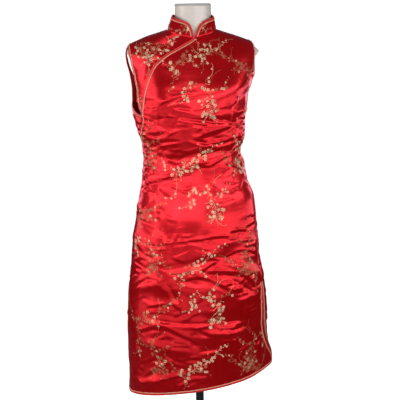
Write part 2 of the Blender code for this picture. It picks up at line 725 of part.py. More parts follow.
clear_scene()
build_dress()
build_form()
build_stand()
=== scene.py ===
# %% [markdown]
# # A red brocade cheongsam on a dress form
#
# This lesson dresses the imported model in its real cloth. The solids of the model hold the sizes
# and the collision shape, and they never move. Every cell below makes one piece or one finish
# that is seen: satin panels with their creases, a standing collar, bound and piped edges, woven
# plum blossom, and the smooth form, pole and base that carry the dress.

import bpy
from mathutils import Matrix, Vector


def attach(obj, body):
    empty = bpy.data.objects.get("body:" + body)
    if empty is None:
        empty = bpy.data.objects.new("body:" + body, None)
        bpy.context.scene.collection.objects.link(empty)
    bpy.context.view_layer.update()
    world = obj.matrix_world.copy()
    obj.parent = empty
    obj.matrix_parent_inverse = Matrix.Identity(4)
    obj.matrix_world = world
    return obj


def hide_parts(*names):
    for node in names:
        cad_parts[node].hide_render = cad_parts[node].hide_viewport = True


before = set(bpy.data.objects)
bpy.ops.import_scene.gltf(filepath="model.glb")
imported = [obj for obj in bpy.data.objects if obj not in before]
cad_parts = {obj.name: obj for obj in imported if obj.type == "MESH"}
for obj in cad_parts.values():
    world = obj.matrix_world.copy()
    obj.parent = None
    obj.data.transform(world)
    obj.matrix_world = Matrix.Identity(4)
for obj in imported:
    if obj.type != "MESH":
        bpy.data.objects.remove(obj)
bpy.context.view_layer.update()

import math

import bmesh
import bpy
import numpy as np

# %% [markdown]
# ## The garment surface
#
# A worn dress is one smooth tube of cloth, so every panel, tape and cord can be placed on a single
# surface. It could be sculpted, but a short table of level sections is easier to check against the
# model: it is the same table that the solids come from. An angle is counted from the middle of the
# front towards the wearer's left, and a height is in metres above the floor.

# %% Tables of the cut
SLIT_TOP, UNDERARM, SHOULDER_TIP = 0.685, 1.190, 1.387
NECKLINE_FRONT, NECKLINE_BACK = 1.4060, 1.4290
HEM_MIDDLE, HEM_TILT, HEM_WAVE, HEM_FRONT_RISE = 0.3847, 0.0397, 0.008, 0.007
CORNER_FLARE, FLARE_ANGLE, FLARE_TOP, FLARE_RUN = 0.007, 12.0, 0.52, 0.10
FORM_BOTTOM = 0.700
WALL_HALF = 0.0006
CLOTH = 0.0008

SECTIONS = (
    # height, half_width, front, back, shift_x, shift_y, point
    (0.300, 0.217, 0.152, 0.150, -0.002, 0.000, 1.00),
    (0.424, 0.217, 0.150, 0.148, 0.002, 0.000, 1.00),
    (0.502, 0.213, 0.147, 0.146, -0.002, 0.000, 0.98),
    (0.580, 0.211, 0.143, 0.143, -0.003, 0.000, 0.96),
    (0.657, 0.205, 0.138, 0.141, -0.001, 0.000, 0.95),
    (0.732, 0.196, 0.132, 0.138, -0.005, 0.000, 0.94),
    (0.807, 0.188, 0.126, 0.135, -0.006, 0.000, 0.94),
    (0.881, 0.178, 0.119, 0.132, -0.002, 0.000, 0.94),
    (0.936, 0.171, 0.113, 0.127, -0.001, 0.000, 0.94),
    (0.990, 0.156, 0.105, 0.116, -0.004, 0.000, 0.96),
    (1.044, 0.148, 0.097, 0.102, -0.007, 0.000, 0.97),
    (1.079, 0.141, 0.093, 0.094, -0.011, 0.000, 0.98),
    (1.115, 0.150, 0.098, 0.093, -0.009, 0.001, 0.98),
    (1.168, 0.158, 0.111, 0.097, -0.014, 0.003, 0.98),
    (1.202, 0.165, 0.118, 0.101, -0.015, 0.004, 0.98),
    (1.237, 0.167, 0.120, 0.104, -0.014, 0.005, 0.98),
    (1.271, 0.174, 0.117, 0.105, -0.008, 0.006, 0.98),
    (1.306, 0.181, 0.110, 0.105, -0.006, 0.007, 1.00),
    (1.340, 0.186, 0.101, 0.102, -0.008, 0.008, 1.03),
    (1.357, 0.187, 0.095, 0.098, -0.008, 0.008, 1.06),
    (1.373, 0.184, 0.088, 0.094, -0.008, 0.009, 1.10),
    (1.387, 0.175, 0.081, 0.088, -0.008, 0.009, 1.12),
    (1.399, 0.150, 0.075, 0.082, -0.008, 0.010, 1.10),
    (1.409, 0.123, 0.070, 0.077, -0.0095, 0.010, 1.05),
    (1.416, 0.100, 0.066, 0.072, -0.0090, 0.009, 1.00),
    (1.422, 0.082, 0.064, 0.067, -0.0080, 0.008, 1.00),
    (1.4275, 0.066, 0.062, 0.064, -0.0080, 0.007, 1.00),
    (1.445, 0.066, 0.060, 0.061, -0.0085, 0.006, 1.00),
)
EDGES = (
    # height, right_front, right_back, left_front, left_back
    (0.300, 99.0, 102.5, 79.0, 82.5),
    (0.440, 99.0, 102.5, 76.0, 79.5),
    (0.500, 99.0, 102.0, 66.5, 70.0),
    (0.560, 98.5, 101.2, 61.5, 64.5),
    (0.620, 97.8, 99.6, 62.5, 64.5),
    (SLIT_TOP, 97.0, 97.0, 65.5, 65.5),
    (0.800, 92.0, 92.0, 70.0, 70.0),
    (0.950, 87.5, 87.5, 76.0, 76.0),
    (1.080, 84.5, 84.5, 78.0, 78.0),
    (1.115, 80.0, 80.0, 77.0, 77.0),
    (1.150, 71.0, 71.0, 72.0, 72.0),
    (UNDERARM, 62.0, 62.0, 66.0, 66.0),
    (1.205, 63.0, 78.0, 71.0, 84.0),
    (1.225, 66.0, 92.0, 77.0, 98.0),
    (1.250, 68.0, 98.0, 79.0, 104.0),
    (1.297, 70.0, 100.0, 79.0, 106.0),
    (1.340, 70.0, 98.0, 76.0, 102.0),
    (1.370, 76.0, 94.0, 79.0, 96.0),
    (SHOULDER_TIP, 90.0, 90.0, 90.0, 90.0),
    (1.450, 90.0, 90.0, 90.0, 90.0),
)
PLACKET = (
    # height, angle
    (UNDERARM, 62.0), (1.223, 57.7), (1.255, 54.6), (1.290, 49.0), (1.328, 39.9), (1.359, 27.4),
    (1.384, 13.0), (NECKLINE_FRONT, 0.0),
)
LARGE_FOLDS = (
    # angle, height, half_length, half_width, slope, rise
    (16.0, 1.090, 0.095, 0.012, 0.18, -0.0030),
    (2.0, 1.060, 0.100, 0.014, 0.30, 0.0030),
    (-38.0, 1.070, 0.045, 0.011, -0.15, -0.0028),
    (62.0, 1.110, 0.045, 0.012, 0.45, -0.0035),
    (-6.0, 0.770, 0.120, 0.014, 0.14, -0.0030),
    (44.0, 0.740, 0.080, 0.015, -0.35, 0.0035),
    (-52.0, 0.700, 0.070, 0.014, 0.30, 0.0035),
    (20.0, 0.600, 0.110, 0.016, -0.22, -0.0035),
    (-30.0, 0.520, 0.100, 0.015, -0.12, 0.0040),
    (-48.0, 0.410, 0.080, 0.014, 0.25, 0.0040),
    (150.0, 1.090, 0.080, 0.014, 0.15, -0.0030),
    (205.0, 1.060, 0.080, 0.014, -0.20, 0.0030),
    (180.0, 0.700, 0.120, 0.018, 0.10, -0.0035),
    (230.0, 0.560, 0.100, 0.018, -0.20, 0.0035),
    (130.0, 0.540, 0.090, 0.016, 0.25, 0.0035),
)
FULLNESS = (
    # angle, turn, height, reach, rise: the bust on each side, the drape under it and the belly
    (-34.0, 20.0, 1.248, 0.048, 0.010), (34.0, 20.0, 1.248, 0.048, 0.010),
    (0.0, 52.0, 1.122, 0.058, 0.0125), (0.0, 60.0, 0.895, 0.050, 0.0030),
)
EASE = (
    # height, at_front_and_back, at_sides: how far the form stays inside the cloth
    (0.680, 0.024, 0.030), (0.850, 0.014, 0.018), (1.000, 0.010, 0.010), (1.080, 0.009, 0.009),
    (1.200, 0.006, 0.018), (1.250, 0.005, 0.020), (1.285, 0.005, 0.0150), (1.315, 0.005, 0.0085),
    (1.345, 0.005, 0.0065), (1.362, 0.005, 0.0034), (1.385, 0.005, 0.0021), (1.410, 0.005, 0.0019),
    (1.427, 0.006, 0.0040),
)
print("sections from %.3f to %.3f m" % (SECTIONS[0][0], SECTIONS[-1][0]))

# %% [markdown]
# The tables only hold a few levels. Straight lines between them would show as kinks in the satin,
# and ordinary splines can swing past a row, so the tables are read on curves that keep between
# their rows.

# %% Read a table on smooth curves
def on_curve(table, height):
    """Every column of a table at each height, on smooth curves that never overshoot a row."""
    rows = np.array(table, float)
    levels, values = rows[:, 0], rows[:, 1:]
    span = np.diff(levels)[:, None]
    rise = np.diff(values, axis=0) / span
    product, total = rise[:-1] * rise[1:], rise[:-1] + rise[1:]
    middle = np.where(product > 0, 2 * product / np.where(product > 0, total, 1.0), 0.0)
    slope = np.vstack([rise[:1], middle, rise[-1:]])
    height = np.clip(np.asarray(height, float), levels[0], levels[-1])
    row = np.clip(np.searchsorted(levels, height, side="right") - 1, 0, len(levels) - 2)
    along = ((height - levels[row]) / span[row, 0])[..., None]
    square, cube = along ** 2, along ** 3
    curve = ((2 * cube - 3 * square + 1) * values[row] + (3 * square - 2 * cube) * values[row + 1]
             + (cube - 2 * square + along) * span[row] * slope[row]
             + (cube - square) * span[row] * slope[row + 1])
    return np.moveaxis(curve, -1, 0)


def lerp(start, end, share):
    """The value a share of the way from start to end."""
    return start + (end - start) * share


def bell(distance, spread):
    """A smooth bump: 1 in its middle and near 0 two spreads away."""
    return np.exp(-(distance / spread) ** 2)


def ramp(value, start, end):
    """A soft step from 0 before start to 1 past end."""
    share = np.clip((value - start) / (end - start), 0.0, 1.0)
    return share * share * (3 - 2 * share)


def turn_between(angle, middle):
    """Degrees from middle to an angle, the short way round."""
    return (angle - middle + 180.0) % 360.0 - 180.0


print("half width at the hips %.3f m" % on_curve(SECTIONS, 0.881)[0])

# %% The section, the neckline and the hem
def as_arrays(angle, height):
    """Angles and heights as arrays of one shape."""
    return np.broadcast_arrays(np.asarray(angle, float), np.asarray(height, float))


def section(angle, height):
    """The smooth section at each place: outward vector from its middle, and that middle."""
    angle, height = as_arrays(angle, height)
    half_width, front, back, shift_x, shift_y, point = on_curve(SECTIONS, height)
    share = np.cos(np.radians(angle))
    depth = np.where(share > 0, front, back) * np.sign(share) * np.abs(share) ** point
    out = np.stack([half_width * np.sin(np.radians(angle)), -depth, 0 * depth], -1)
    return out, np.stack([shift_x, shift_y, height], -1)


def neckline(angle):
    """The height of the neck seam at each angle."""
    share = 1.0 - (1.0 - np.abs(np.sin(np.radians(angle) / 2))) ** 2
    return lerp(NECKLINE_FRONT, NECKLINE_BACK, share)


def hem(angle):
    """The height of the lower edge at each angle; it dips at the wearer's right."""
    turn = np.radians(angle)
    return (HEM_MIDDLE + HEM_TILT * np.sin(turn) - HEM_WAVE * np.sin(2 * turn)
            + HEM_FRONT_RISE * np.maximum(np.cos(turn), 0.0) ** 2)


def walked_along(points):
    """Metres from the start of a line of points to each of them."""
    return np.concatenate([[0], np.cumsum(np.linalg.norm(np.diff(points, axis=0), axis=1))])


def girth(height):
    """Metres round the dress at a height."""
    return walked_along(section(np.linspace(0, 360, 361), height)[0])[-1]


print("bust %.0f, waist %.0f, hip %.0f mm round" % tuple(1000 * girth(z) for z in (1.237, 1.079, 0.881)))

# %% [markdown]
# ## Tape measure coordinates
#
# Creases, darts and woven sprigs are easiest to place with a tape measure: so many metres across
# from the middle of the front or the back, and so high. The cell walks round each section once and
# keeps the distances in a table, so that any angle can be turned into metres across.

# %% Distances round the sections
TAPE_HEIGHTS = np.linspace(0.32, 1.45, 114)
TAPE_ANGLES = np.linspace(-180.0, 180.0, 361)
outward, _ = section(TAPE_ANGLES[None, :], TAPE_HEIGHTS[:, None])
walked = np.cumsum(np.linalg.norm(np.diff(outward, axis=1), axis=2), axis=1)
walked = np.hstack([np.zeros((len(TAPE_HEIGHTS), 1)), walked])
TAPE_ACROSS = walked - walked[:, 180:181]


def read(field, row, column):
    """A table's value at fractional rows and columns."""
    row = np.clip(row, 0, field.shape[0] - 1.001)
    column = np.clip(column, 0, field.shape[1] - 1.001)
    r, c = row.astype(int), column.astype(int)
    down, over = row - r, column - c
    return ((field[r, c] * (1 - over) + field[r, c + 1] * over) * (1 - down)
            + (field[r + 1, c] * (1 - over) + field[r + 1, c + 1] * over) * down)


def tape_row(height):
    """The row of the tape tables at a height."""
    return np.asarray((height - TAPE_HEIGHTS[0]) / (TAPE_HEIGHTS[1] - TAPE_HEIGHTS[0]))


def across_front(angle, height):
    """Metres from the middle of the front, positive towards the wearer's left."""
    return read(TAPE_ACROSS, tape_row(height), turn_between(angle, 0.0) + 180.0)


def across_back(angle, height):
    """Metres from the middle of the back, positive towards the wearer's right."""
    row = tape_row(height)
    half = np.where(turn_between(angle, 0.0) > 0, read(TAPE_ACROSS, row, 0 * row + 360.0),
                    read(TAPE_ACROSS, row, 0 * row))
    return across_front(angle, height) - half


print("tape table:", TAPE_ACROSS.shape)

# %% [markdown]
# ## Creases
#
# Thin satin holds every crease that sitting, folding and pulling put in it. A cloth simulation
# gives soft drapes but not these sharp, uneven crumples, so they are placed one by one. Each row is
# one crease: where it starts and ends, how far it bows, how wide it is and how high it stands. A
# ridge has a shallow trough under it, because the cloth that rises has to come from somewhere.
# The back gets the same kinds of crease, turned over and moved, and small seeded crumples fill in
# between them, thick on the skirt and thin on the chest where the form pulls the cloth tight.

# %% Creases placed one by one
FRONT_CREASES = (
    # in millimetres: across_1, height_1, across_2, height_2, bow, width, rise
    # chest and waist
    (-95, 1230, -5, 1260, 5, 6.0, 2.3), (-20, 1275, 20, 1285, 1, 7.5, 1.0),
    (155, 1310, 215, 1290, 0, 7.5, 1.5), (120, 1250, 165, 1210, 0, 7.5, -2.1),
    (-55, 1220, -5, 1210, 1, 5.0, -1.2), (110, 1140, 115, 1215, 0, 7.5, -3.0),
    (-55, 1195, 95, 1170, -3, 5.0, -2.3), (-55, 1170, -15, 1170, 1, 5.0, 1.2),
    (-75, 1140, -45, 1155, 1, 4.0, 1.3), (10, 1140, 110, 1160, 4, 6.5, 3.0),
    (-20, 1130, 125, 1120, -15, 5.0, -2.9), (130, 1090, 135, 1135, 0, 6.5, -2.5),
    (-115, 1110, -45, 1125, 1, 4.0, -1.9), (-45, 1080, 125, 1125, 9, 6.0, 2.4),
    (105, 1070, 170, 1090, 1, 6.0, -2.5), (0, 1080, 55, 1095, 1, 4.0, 1.2),
    (30, 1050, 95, 1075, 1, 5.0, 1.7), (90, 1050, 170, 1015, 1, 5.0, -1.9),
    (-185, 990, -40, 1030, 5, 6.0, 2.0),
    # hips
    (-130, 930, -110, 910, 0, 10.0, -2.1), (-205, 895, -145, 890, 1, 7.5, 1.1),
    (165, 890, 210, 895, 1, 5.0, 1.5), (140, 865, 185, 870, 1, 5.0, 2.0),
    (90, 860, 140, 855, 2, 5.0, 2.4), (25, 850, 85, 845, 1, 5.0, 1.2),
    (-115, 830, 15, 845, 2, 5.0, 1.7), (-170, 825, -115, 820, -3, 4.0, -2.2),
    (130, 825, 175, 820, 1, 5.0, 1.4), (-130, 810, -105, 815, 1, 4.0, 1.4),
    (-210, 805, -135, 780, -2, 5.0, -2.2), (110, 800, 185, 780, 4, 5.0, 3.2),
    # top of the skirt
    (-5, 750, 40, 775, 2, 6.0, 2.2), (15, 750, 135, 725, 5, 6.5, 2.7),
    (135, 725, 180, 675, 2, 6.0, 2.4), (70, 725, 165, 660, 2, 6.5, -1.9),
    (-55, 725, 20, 725, 9, 6.0, 2.3), (20, 725, 70, 695, 2, 6.0, 2.0),
    (-240, 680, -165, 730, 1, 5.0, 2.2), (-165, 730, -130, 725, 1, 5.0, 1.5),
    (-230, 640, -185, 670, 1, 5.0, 1.5), (-100, 710, -80, 660, -3, 6.0, -2.7),
    (-85, 620, -45, 640, 1, 5.0, 1.8), (-170, 640, -90, 655, 4, 5.0, 2.0),
    (-90, 655, -55, 625, 2, 5.0, 2.0),
    # middle of the skirt
    (-160, 605, 10, 595, -3, 6.0, -2.5), (-245, 540, -130, 590, 4, 6.0, 2.9),
    (-130, 590, -40, 550, 4, 6.0, 2.9), (-50, 550, -25, 525, 0, 5.0, -1.8),
    (0, 570, 100, 550, -3, 6.0, 2.4), (-40, 590, 5, 570, 1, 5.0, 1.3), (95, 580, 160, 580, 2, 6.5, 1.6),
    (125, 620, 170, 625, 1, 6.0, 1.5), (-105, 530, -45, 530, 2, 5.0, 1.2),
    (-260, 500, -210, 495, 1, 5.0, 2.5),
    # above the hem
    (-190, 425, -95, 485, 4, 5.0, 2.7), (-175, 400, -65, 445, 4, 5.0, 2.4),
    (-255, 415, -180, 395, 1, 6.0, 2.7), (-225, 455, -165, 480, 1, 5.0, 1.4),
    (-45, 495, -10, 490, 1, 4.0, 1.4), (-50, 450, 5, 460, 1, 5.0, 1.6), (5, 500, 65, 515, 1, 6.0, 1.4),
    (75, 490, 125, 495, 1, 6.5, 1.2), (60, 440, 105, 450, 1, 6.0, 1.4),
)
CRUMPLED = (
    # height, share of the small crumples kept there
    (0.36, 0.80), (0.60, 1.00), (0.80, 0.85), (0.92, 0.40), (1.00, 0.55), (1.10, 1.00),
    (1.20, 0.60), (1.27, 0.15), (1.34, 0.04), (1.42, 0.02),
)
GENTLE, STEEP = 0.62, 1.35
TROUGH, TROUGH_PLACE = 0.45, 1.5
SMALL = {"half": (0.010, 0.030), "lean": 27.0, "width": (0.0036, 0.0066), "rise": (0.0006, 0.0013)}
BROAD = {"half": (0.035, 0.075), "lean": 14.0, "width": (0.014, 0.026), "rise": (0.0009, 0.0020)}
print(len(FRONT_CREASES), "creases placed by hand")

# %% Add creases to a height map, and draw the small ones
CELL = 0.0015
FIELD_HALF, FIELD_LOW, FIELD_HIGH = 0.42, 0.33, 1.44


def crease_field(rows):
    """Add up creases into one height map of the cloth, in metres of rise."""
    across = np.arange(-FIELD_HALF, FIELD_HALF, CELL)
    height = np.arange(FIELD_LOW, FIELD_HIGH, CELL)
    field = np.zeros((len(height), len(across)))
    for x1, z1, x2, z2, bow, width, rise in rows:
        length = math.hypot(x2 - x1, z2 - z1)
        reach = 4 * width + abs(bow) + 0.3 * length
        rows_near = slice(*np.searchsorted(height, (min(z1, z2) - reach, max(z1, z2) + reach)))
        near = slice(*np.searchsorted(across, (min(x1, x2) - reach, max(x1, x2) + reach)))
        x, z = np.meshgrid(across[near] - x1, height[rows_near] - z1)
        dx, dz = (x2 - x1) / length, (z2 - z1) / length
        along = (x * dx + z * dz) / length
        aside = (z * dx - x * dz - 4 * bow * along * (1 - along)) / width
        taper = np.exp(-1.1 * np.abs(2 * along - 1) ** 4)
        flank = np.where(aside > 0, GENTLE * aside, STEEP * aside)
        shape = np.exp(-np.abs(flank) ** 1.25) - TROUGH * bell(aside + TROUGH_PLACE, 1.0)
        field[rows_near, near] += rise * taper * shape
    return field


def crumples(seed, count):
    """Short uneven creases, and some broad soft buckles, mostly level as on a worn skirt."""
    random = np.random.default_rng(seed)
    rows = []
    while len(rows) < count:
        height = random.uniform(0.37, 1.40)
        if random.random() > on_curve(CRUMPLED, height)[0]:
            continue
        kind = SMALL if len(rows) % 6 else BROAD
        half = random.uniform(*kind["half"])
        lean = math.radians(random.normal(0.0, kind["lean"]))
        middle = random.uniform(-0.30, 0.30)
        dx, dz = half * math.cos(lean), half * math.sin(lean)
        width, rise = random.uniform(*kind["width"]), random.uniform(*kind["rise"])
        rise *= 1 if random.random() < 0.6 else -1
        rows.append((middle - dx, height - dz, middle + dx, height + dz,
                     random.normal(0.0, 0.12) * half, width, rise))
    return rows


def seam_ripples(middle, low, high, seed):
    """Short level ripples beside a side seam, where the seam is tighter than the cloth."""
    random = np.random.default_rng(seed)
    rows, height = [], low
    while height < high:
        half, tilt = random.uniform(0.016, 0.030), random.normal(0.0, 0.006)
        rows.append((middle - half, height - tilt, middle + half, height + tilt, 0.0,
                     random.uniform(0.0048, 0.0062), random.uniform(0.0012, 0.0022)))
        height += random.uniform(0.013, 0.023)
    return rows


RIPPLES = (seam_ripples(middle=-0.165, low=1.00, high=1.235, seed=3)
           + seam_ripples(middle=0.170, low=1.00, high=1.20, seed=4))
MOVED, RAISED = 0.013, 0.009
by_hand = [[0.001 * value for value in row] for row in FRONT_CREASES]
turned_over = [(-x2 - MOVED, z2 + RAISED, -x1 - MOVED, z1 + RAISED, bow, width, 0.9 * rise)
               for x1, z1, x2, z2, bow, width, rise in by_hand]
FRONT_FIELD = crease_field(by_hand + RIPPLES + crumples(seed=11, count=430))
BACK_FIELD = crease_field(turned_over + RIPPLES + crumples(seed=12, count=430))
print("deepest trough %.1f mm, highest ridge %.1f mm"
      % (1000 * FRONT_FIELD.min(), 1000 * FRONT_FIELD.max()))

# %% [markdown]
# ## One function for the cloth
#
# The dress is fitted with two long darts at the front, and its sides are sewn. Both show as lines
# where the cloth turns a little. They are added here with the bust, the large folds of the solids
# and the creases, so the panels, tapes and cords all follow the same lifted surface. The sum is
# held back where it would push the cloth into the form.

# %% The lifted surface
DARTS = (
    # height, across at the wearer's right, across at the wearer's left
    (0.940, -0.122, 0.088), (0.960, -0.124, 0.091), (1.096, -0.112, 0.110), (1.240, -0.105, 0.104),
    (1.260, -0.104, 0.103),
)
DART_FOOT, DART_TIP = (0.950, 0.975), (1.215, 1.250)
DART_KINK, DART_ROUND, DART_REACH = 0.0020, 0.010, 0.030
SEAM_DIP, SEAM_REACH = 0.0010, 0.0022
CLEAR_OF_FORM, DEEPEST = 0.0014, 0.012


def dart_distances(angle, height):
    """Metres across from each dart to a place on the cloth."""
    place = across_front(angle, height)
    right, left = on_curve(DARTS, height)
    return place - right, place - left


def lift(angle, height, half_width):
    """How far the cloth stands out of its smooth section."""
    rise = 0.0 * angle
    for full_angle, full_turn, full_height, reach, full_rise in FULLNESS:
        rise += (full_rise * bell(turn_between(angle, full_angle), full_turn)
                 * bell(height - full_height, reach))
    for fold_angle, fold_height, half_length, fold_width, slope, fold_rise in LARGE_FOLDS:
        over = np.radians(turn_between(angle, fold_angle)) * half_width
        rise += fold_rise * bell(over, half_length) * bell(height - fold_height - slope * over, fold_width)
    corner = on_curve(EDGES, HEM_MIDDLE + HEM_TILT)[2]
    flare = CORNER_FLARE * bell(turn_between(angle, corner), FLARE_ANGLE)
    rise += flare * ramp(FLARE_TOP - height, 0.0, FLARE_RUN)
    row = (height - FIELD_LOW) / CELL
    rise += read(FRONT_FIELD, row, (across_front(angle, height) + FIELD_HALF) / CELL)
    rise += read(BACK_FIELD, row, (across_back(angle, height) + FIELD_HALF) / CELL)
    sewn = ramp(height, *DART_FOOT) * (1 - ramp(height, *DART_TIP))
    for distance in dart_distances(angle, height):
        kink = 1 - np.exp(-np.abs(distance) / DART_ROUND)
        rise -= sewn * DART_KINK * kink * bell(distance, DART_REACH)
    right_front, _, left_front, _ = on_curve(EDGES, height)
    joined = ramp(height, SLIT_TOP - 0.01, SLIT_TOP) * (1 - ramp(height, UNDERARM - 0.01, UNDERARM))
    for edge in (-right_front, left_front):
        distance = across_front(angle, height) - across_front(edge, height)
        rise -= joined * SEAM_DIP * bell(distance, SEAM_REACH)
    front_ease, side_ease = on_curve(EASE, height)
    room = lerp(front_ease, side_ease, np.sin(np.radians(angle)) ** 2) - CLEAR_OF_FORM
    floor = np.where(height > FORM_BOTTOM, -room, -DEEPEST)
    return np.maximum(rise, floor + 0.0 * rise)


def cloth(angle, height):
    """A point in the middle of the cloth at each angle and height."""
    angle, height = as_arrays(angle, height)
    out, middle = section(angle, height)
    length = np.linalg.norm(out, axis=-1, keepdims=True)
    half_width = on_curve(SECTIONS, height)[0]
    return middle + out * (1 + lift(angle, height, half_width)[..., None] / length)


def slopes(surface, first, second, steps):
    """How a surface moves for each unit of its two coordinates, and its outward direction."""
    da = (surface(first + steps[0], second) - surface(first - steps[0], second)) / (2 * steps[0])
    db = (surface(first, second + steps[1]) - surface(first, second - steps[1])) / (2 * steps[1])
    normal = np.cross(da, db)
    return da, db, normal / np.linalg.norm(normal, axis=-1, keepdims=True)


CLOTH_STEPS = (0.35, 0.0012)
print("throat at", cloth(0.0, NECKLINE_FRONT).round(3))

# %% [markdown]
# ## Panels of satin
#
# The dress is cut in three panels: a large front that laps over to the wearer's right, a small
# right front under it, and a back. Each is a grid of points laid on the cloth surface, row by row
# from the hem up, so a row can follow the hem, the waist or the neckline exactly. A grid bends
# cleanly, and Solidify then gives the cloth its thickness. The map called cut holds the tape
# measure coordinates, so weave and sprigs run true to the grain.

# %% Helpers for meshes and panels
TAPE_UP = np.zeros_like(TAPE_ACROSS)
outward, middles = section(TAPE_ANGLES[None, :], TAPE_HEIGHTS[:, None])
up_steps = np.linalg.norm(np.diff(outward + middles, axis=0), axis=2)
TAPE_UP[1:] = np.cumsum(up_steps, axis=0)
TAPE_UP += 1.0 - TAPE_UP[np.searchsorted(TAPE_HEIGHTS, 1.0)]


def cut_place(angle, height, back=False):
    """Where a point of the cloth lies on the flat cut: metres across, metres up."""
    across = across_back(angle, height) if back else across_front(angle, height)
    return np.stack([across, read(TAPE_UP, tape_row(height), turn_between(angle, 0.0) + 180.0)], -1)


def new_object(name, data):
    """An object in the scene that holds a mesh, a light or a camera."""
    made = bpy.data.objects.new(name, data)
    bpy.context.scene.collection.objects.link(made)
    return made


def add_piece(name, points, faces, smooth=True):
    """A plain mesh object with its place in its mesh."""
    mesh = bpy.data.meshes.new(name)
    mesh.from_pydata(np.reshape(points, (-1, 3)).tolist(), [], faces)
    if smooth:
        mesh.shade_smooth()
    return new_object(name, mesh)


def grid_faces(rows, columns, close_rows=False, close_columns=False):
    """Quads over a grid of points; either way round can be joined to its start."""
    faces = []
    for r in range(rows if close_rows else rows - 1):
        for c in range(columns if close_columns else columns - 1):
            d, e = (r + 1) % rows, (c + 1) % columns
            faces.append((r * columns + c, r * columns + e, d * columns + e, d * columns + c))
    return faces


def set_map(piece, name, places):
    """Store flat coordinates of every point as a UV map."""
    mesh = piece.data
    corner_point = np.zeros(len(mesh.loops), int)
    mesh.loops.foreach_get("vertex_index", corner_point)
    layer = mesh.uv_layers.new(name=name)
    layer.uv.foreach_set("vector", np.reshape(places, (-1, 2))[corner_point].ravel())


def thicken(piece, thickness):
    """Give a cloth its thickness under the face that shows."""
    shell = piece.modifiers.new("thickness", "SOLIDIFY")
    shell.thickness = thickness
    shell.offset = -1.0
    shell.use_rim = True
    shell.material_offset = 1
    return piece


def cloth_piece(name, angle, height, back=False, sink=None):
    """A panel through a grid of places on the cloth."""
    points = cloth(angle, height)
    _, _, normal = slopes(cloth, angle, height, CLOTH_STEPS)
    points = points + normal * WALL_HALF
    if sink is not None:
        points = points - normal * sink[..., None]
    piece = add_piece(name, points, grid_faces(*angle.shape))
    set_map(piece, "cut", cut_place(angle, height, back))
    return thicken(piece, CLOTH)


print("map of the cut reaches", cut_place(80.0, 1.41).round(3))

# %% Grids of the front and the back
def seam_angles(height):
    """Edge angles at a height: front right, front left, back left, back right."""
    right_front, right_back, left_front, left_back = on_curve(EDGES, height)
    sewn = (height >= SLIT_TOP) & (height <= UNDERARM)
    right_back, left_back = np.where(sewn, right_front, right_back), np.where(sewn, left_front, left_back)
    return -right_front, left_front, left_back, 360.0 - right_back


def slit_angles(side, share):
    """The edge angle of a slit, at each share of the way from the hem up to its top."""
    angle = seam_angles(SLIT_TOP)[side] + 0.0 * share
    for _ in range(8):
        angle = seam_angles(lerp(hem(angle), SLIT_TOP, share))[side]
    return angle


def panel_grid(back, columns, skirt_rows, bodice_rows, top_rows):
    """Angles and heights of a panel's points, from the hem up to the neckline."""
    sides = (2, 3) if back else (0, 1)
    top_start, top_end = (90.0, 270.0) if back else (0.0, 90.0)
    share = np.linspace(0, 1, columns)
    angles, heights = [], []
    for row in np.linspace(0, 1, skirt_rows, endpoint=False):
        line = lerp(*(slit_angles(side, row) for side in sides), share)
        angles.append(line)
        heights.append(lerp(hem(line), SLIT_TOP, row))
    for height in np.linspace(SLIT_TOP, UNDERARM, bodice_rows, endpoint=False):
        angles.append(lerp(*(seam_angles(height)[side] for side in sides), share))
        heights.append(height + 0 * share)
    for row in np.linspace(0, 1, top_rows):
        ends = [lerp(UNDERARM, neckline(top), row) for top in (top_start, top_end)]
        ends = [seam_angles(height)[side] for side, height in zip(sides, ends)]
        if not back:
            ends[0] = -on_curve(PLACKET, lerp(UNDERARM, NECKLINE_FRONT, row))[0]
        angles.append(lerp(*ends, share))
        heights.append(lerp(UNDERARM, neckline(lerp(top_start, top_end, share)), row))
    return np.array(angles), np.array(heights)


print("slits reach the hem at", [round(float(slit_angles(side, 0.0)), 1) for side in range(4)], "degrees")

# %% [markdown]
# The small right front is cut wider than what shows, and it lies a little deeper, under the large
# front. Its grid runs from its hidden inner edge out to the neckline and armhole.

# %% The three panels
front_grid = panel_grid(back=False, columns=108, skirt_rows=124, bodice_rows=216, top_rows=92)
back_grid = panel_grid(back=True, columns=116, skirt_rows=118, bodice_rows=196, top_rows=82)
front = cloth_piece("satin_front", *front_grid)
back = cloth_piece("satin_back", *back_grid, back=True)

placket_heights = np.linspace(UNDERARM, NECKLINE_FRONT, 61)
PLACKET_LINE = np.stack([-on_curve(PLACKET, placket_heights)[0], placket_heights], -1)
LAP_DEPTH, LAP_ANGLE, LAP_DROP = 0.0027, 5.0, 0.006
LAP_COMES_UP, NECK_ROWS = (0.004, 0.020), 24


def lap_sink(angle, height):
    """How deep the small right front lies under the cloth surface."""
    half_width = on_curve(SECTIONS, height)[0]
    over = np.radians(angle[..., None] - PLACKET_LINE[:, 0]) * half_width[..., None]
    nearest = np.hypot(over, height[..., None] - PLACKET_LINE[:, 1]).min(-1)
    covered = angle > -on_curve(PLACKET, height)[0]
    return LAP_DEPTH * np.where(covered, 1.0, 1.0 - ramp(nearest, *LAP_COMES_UP))


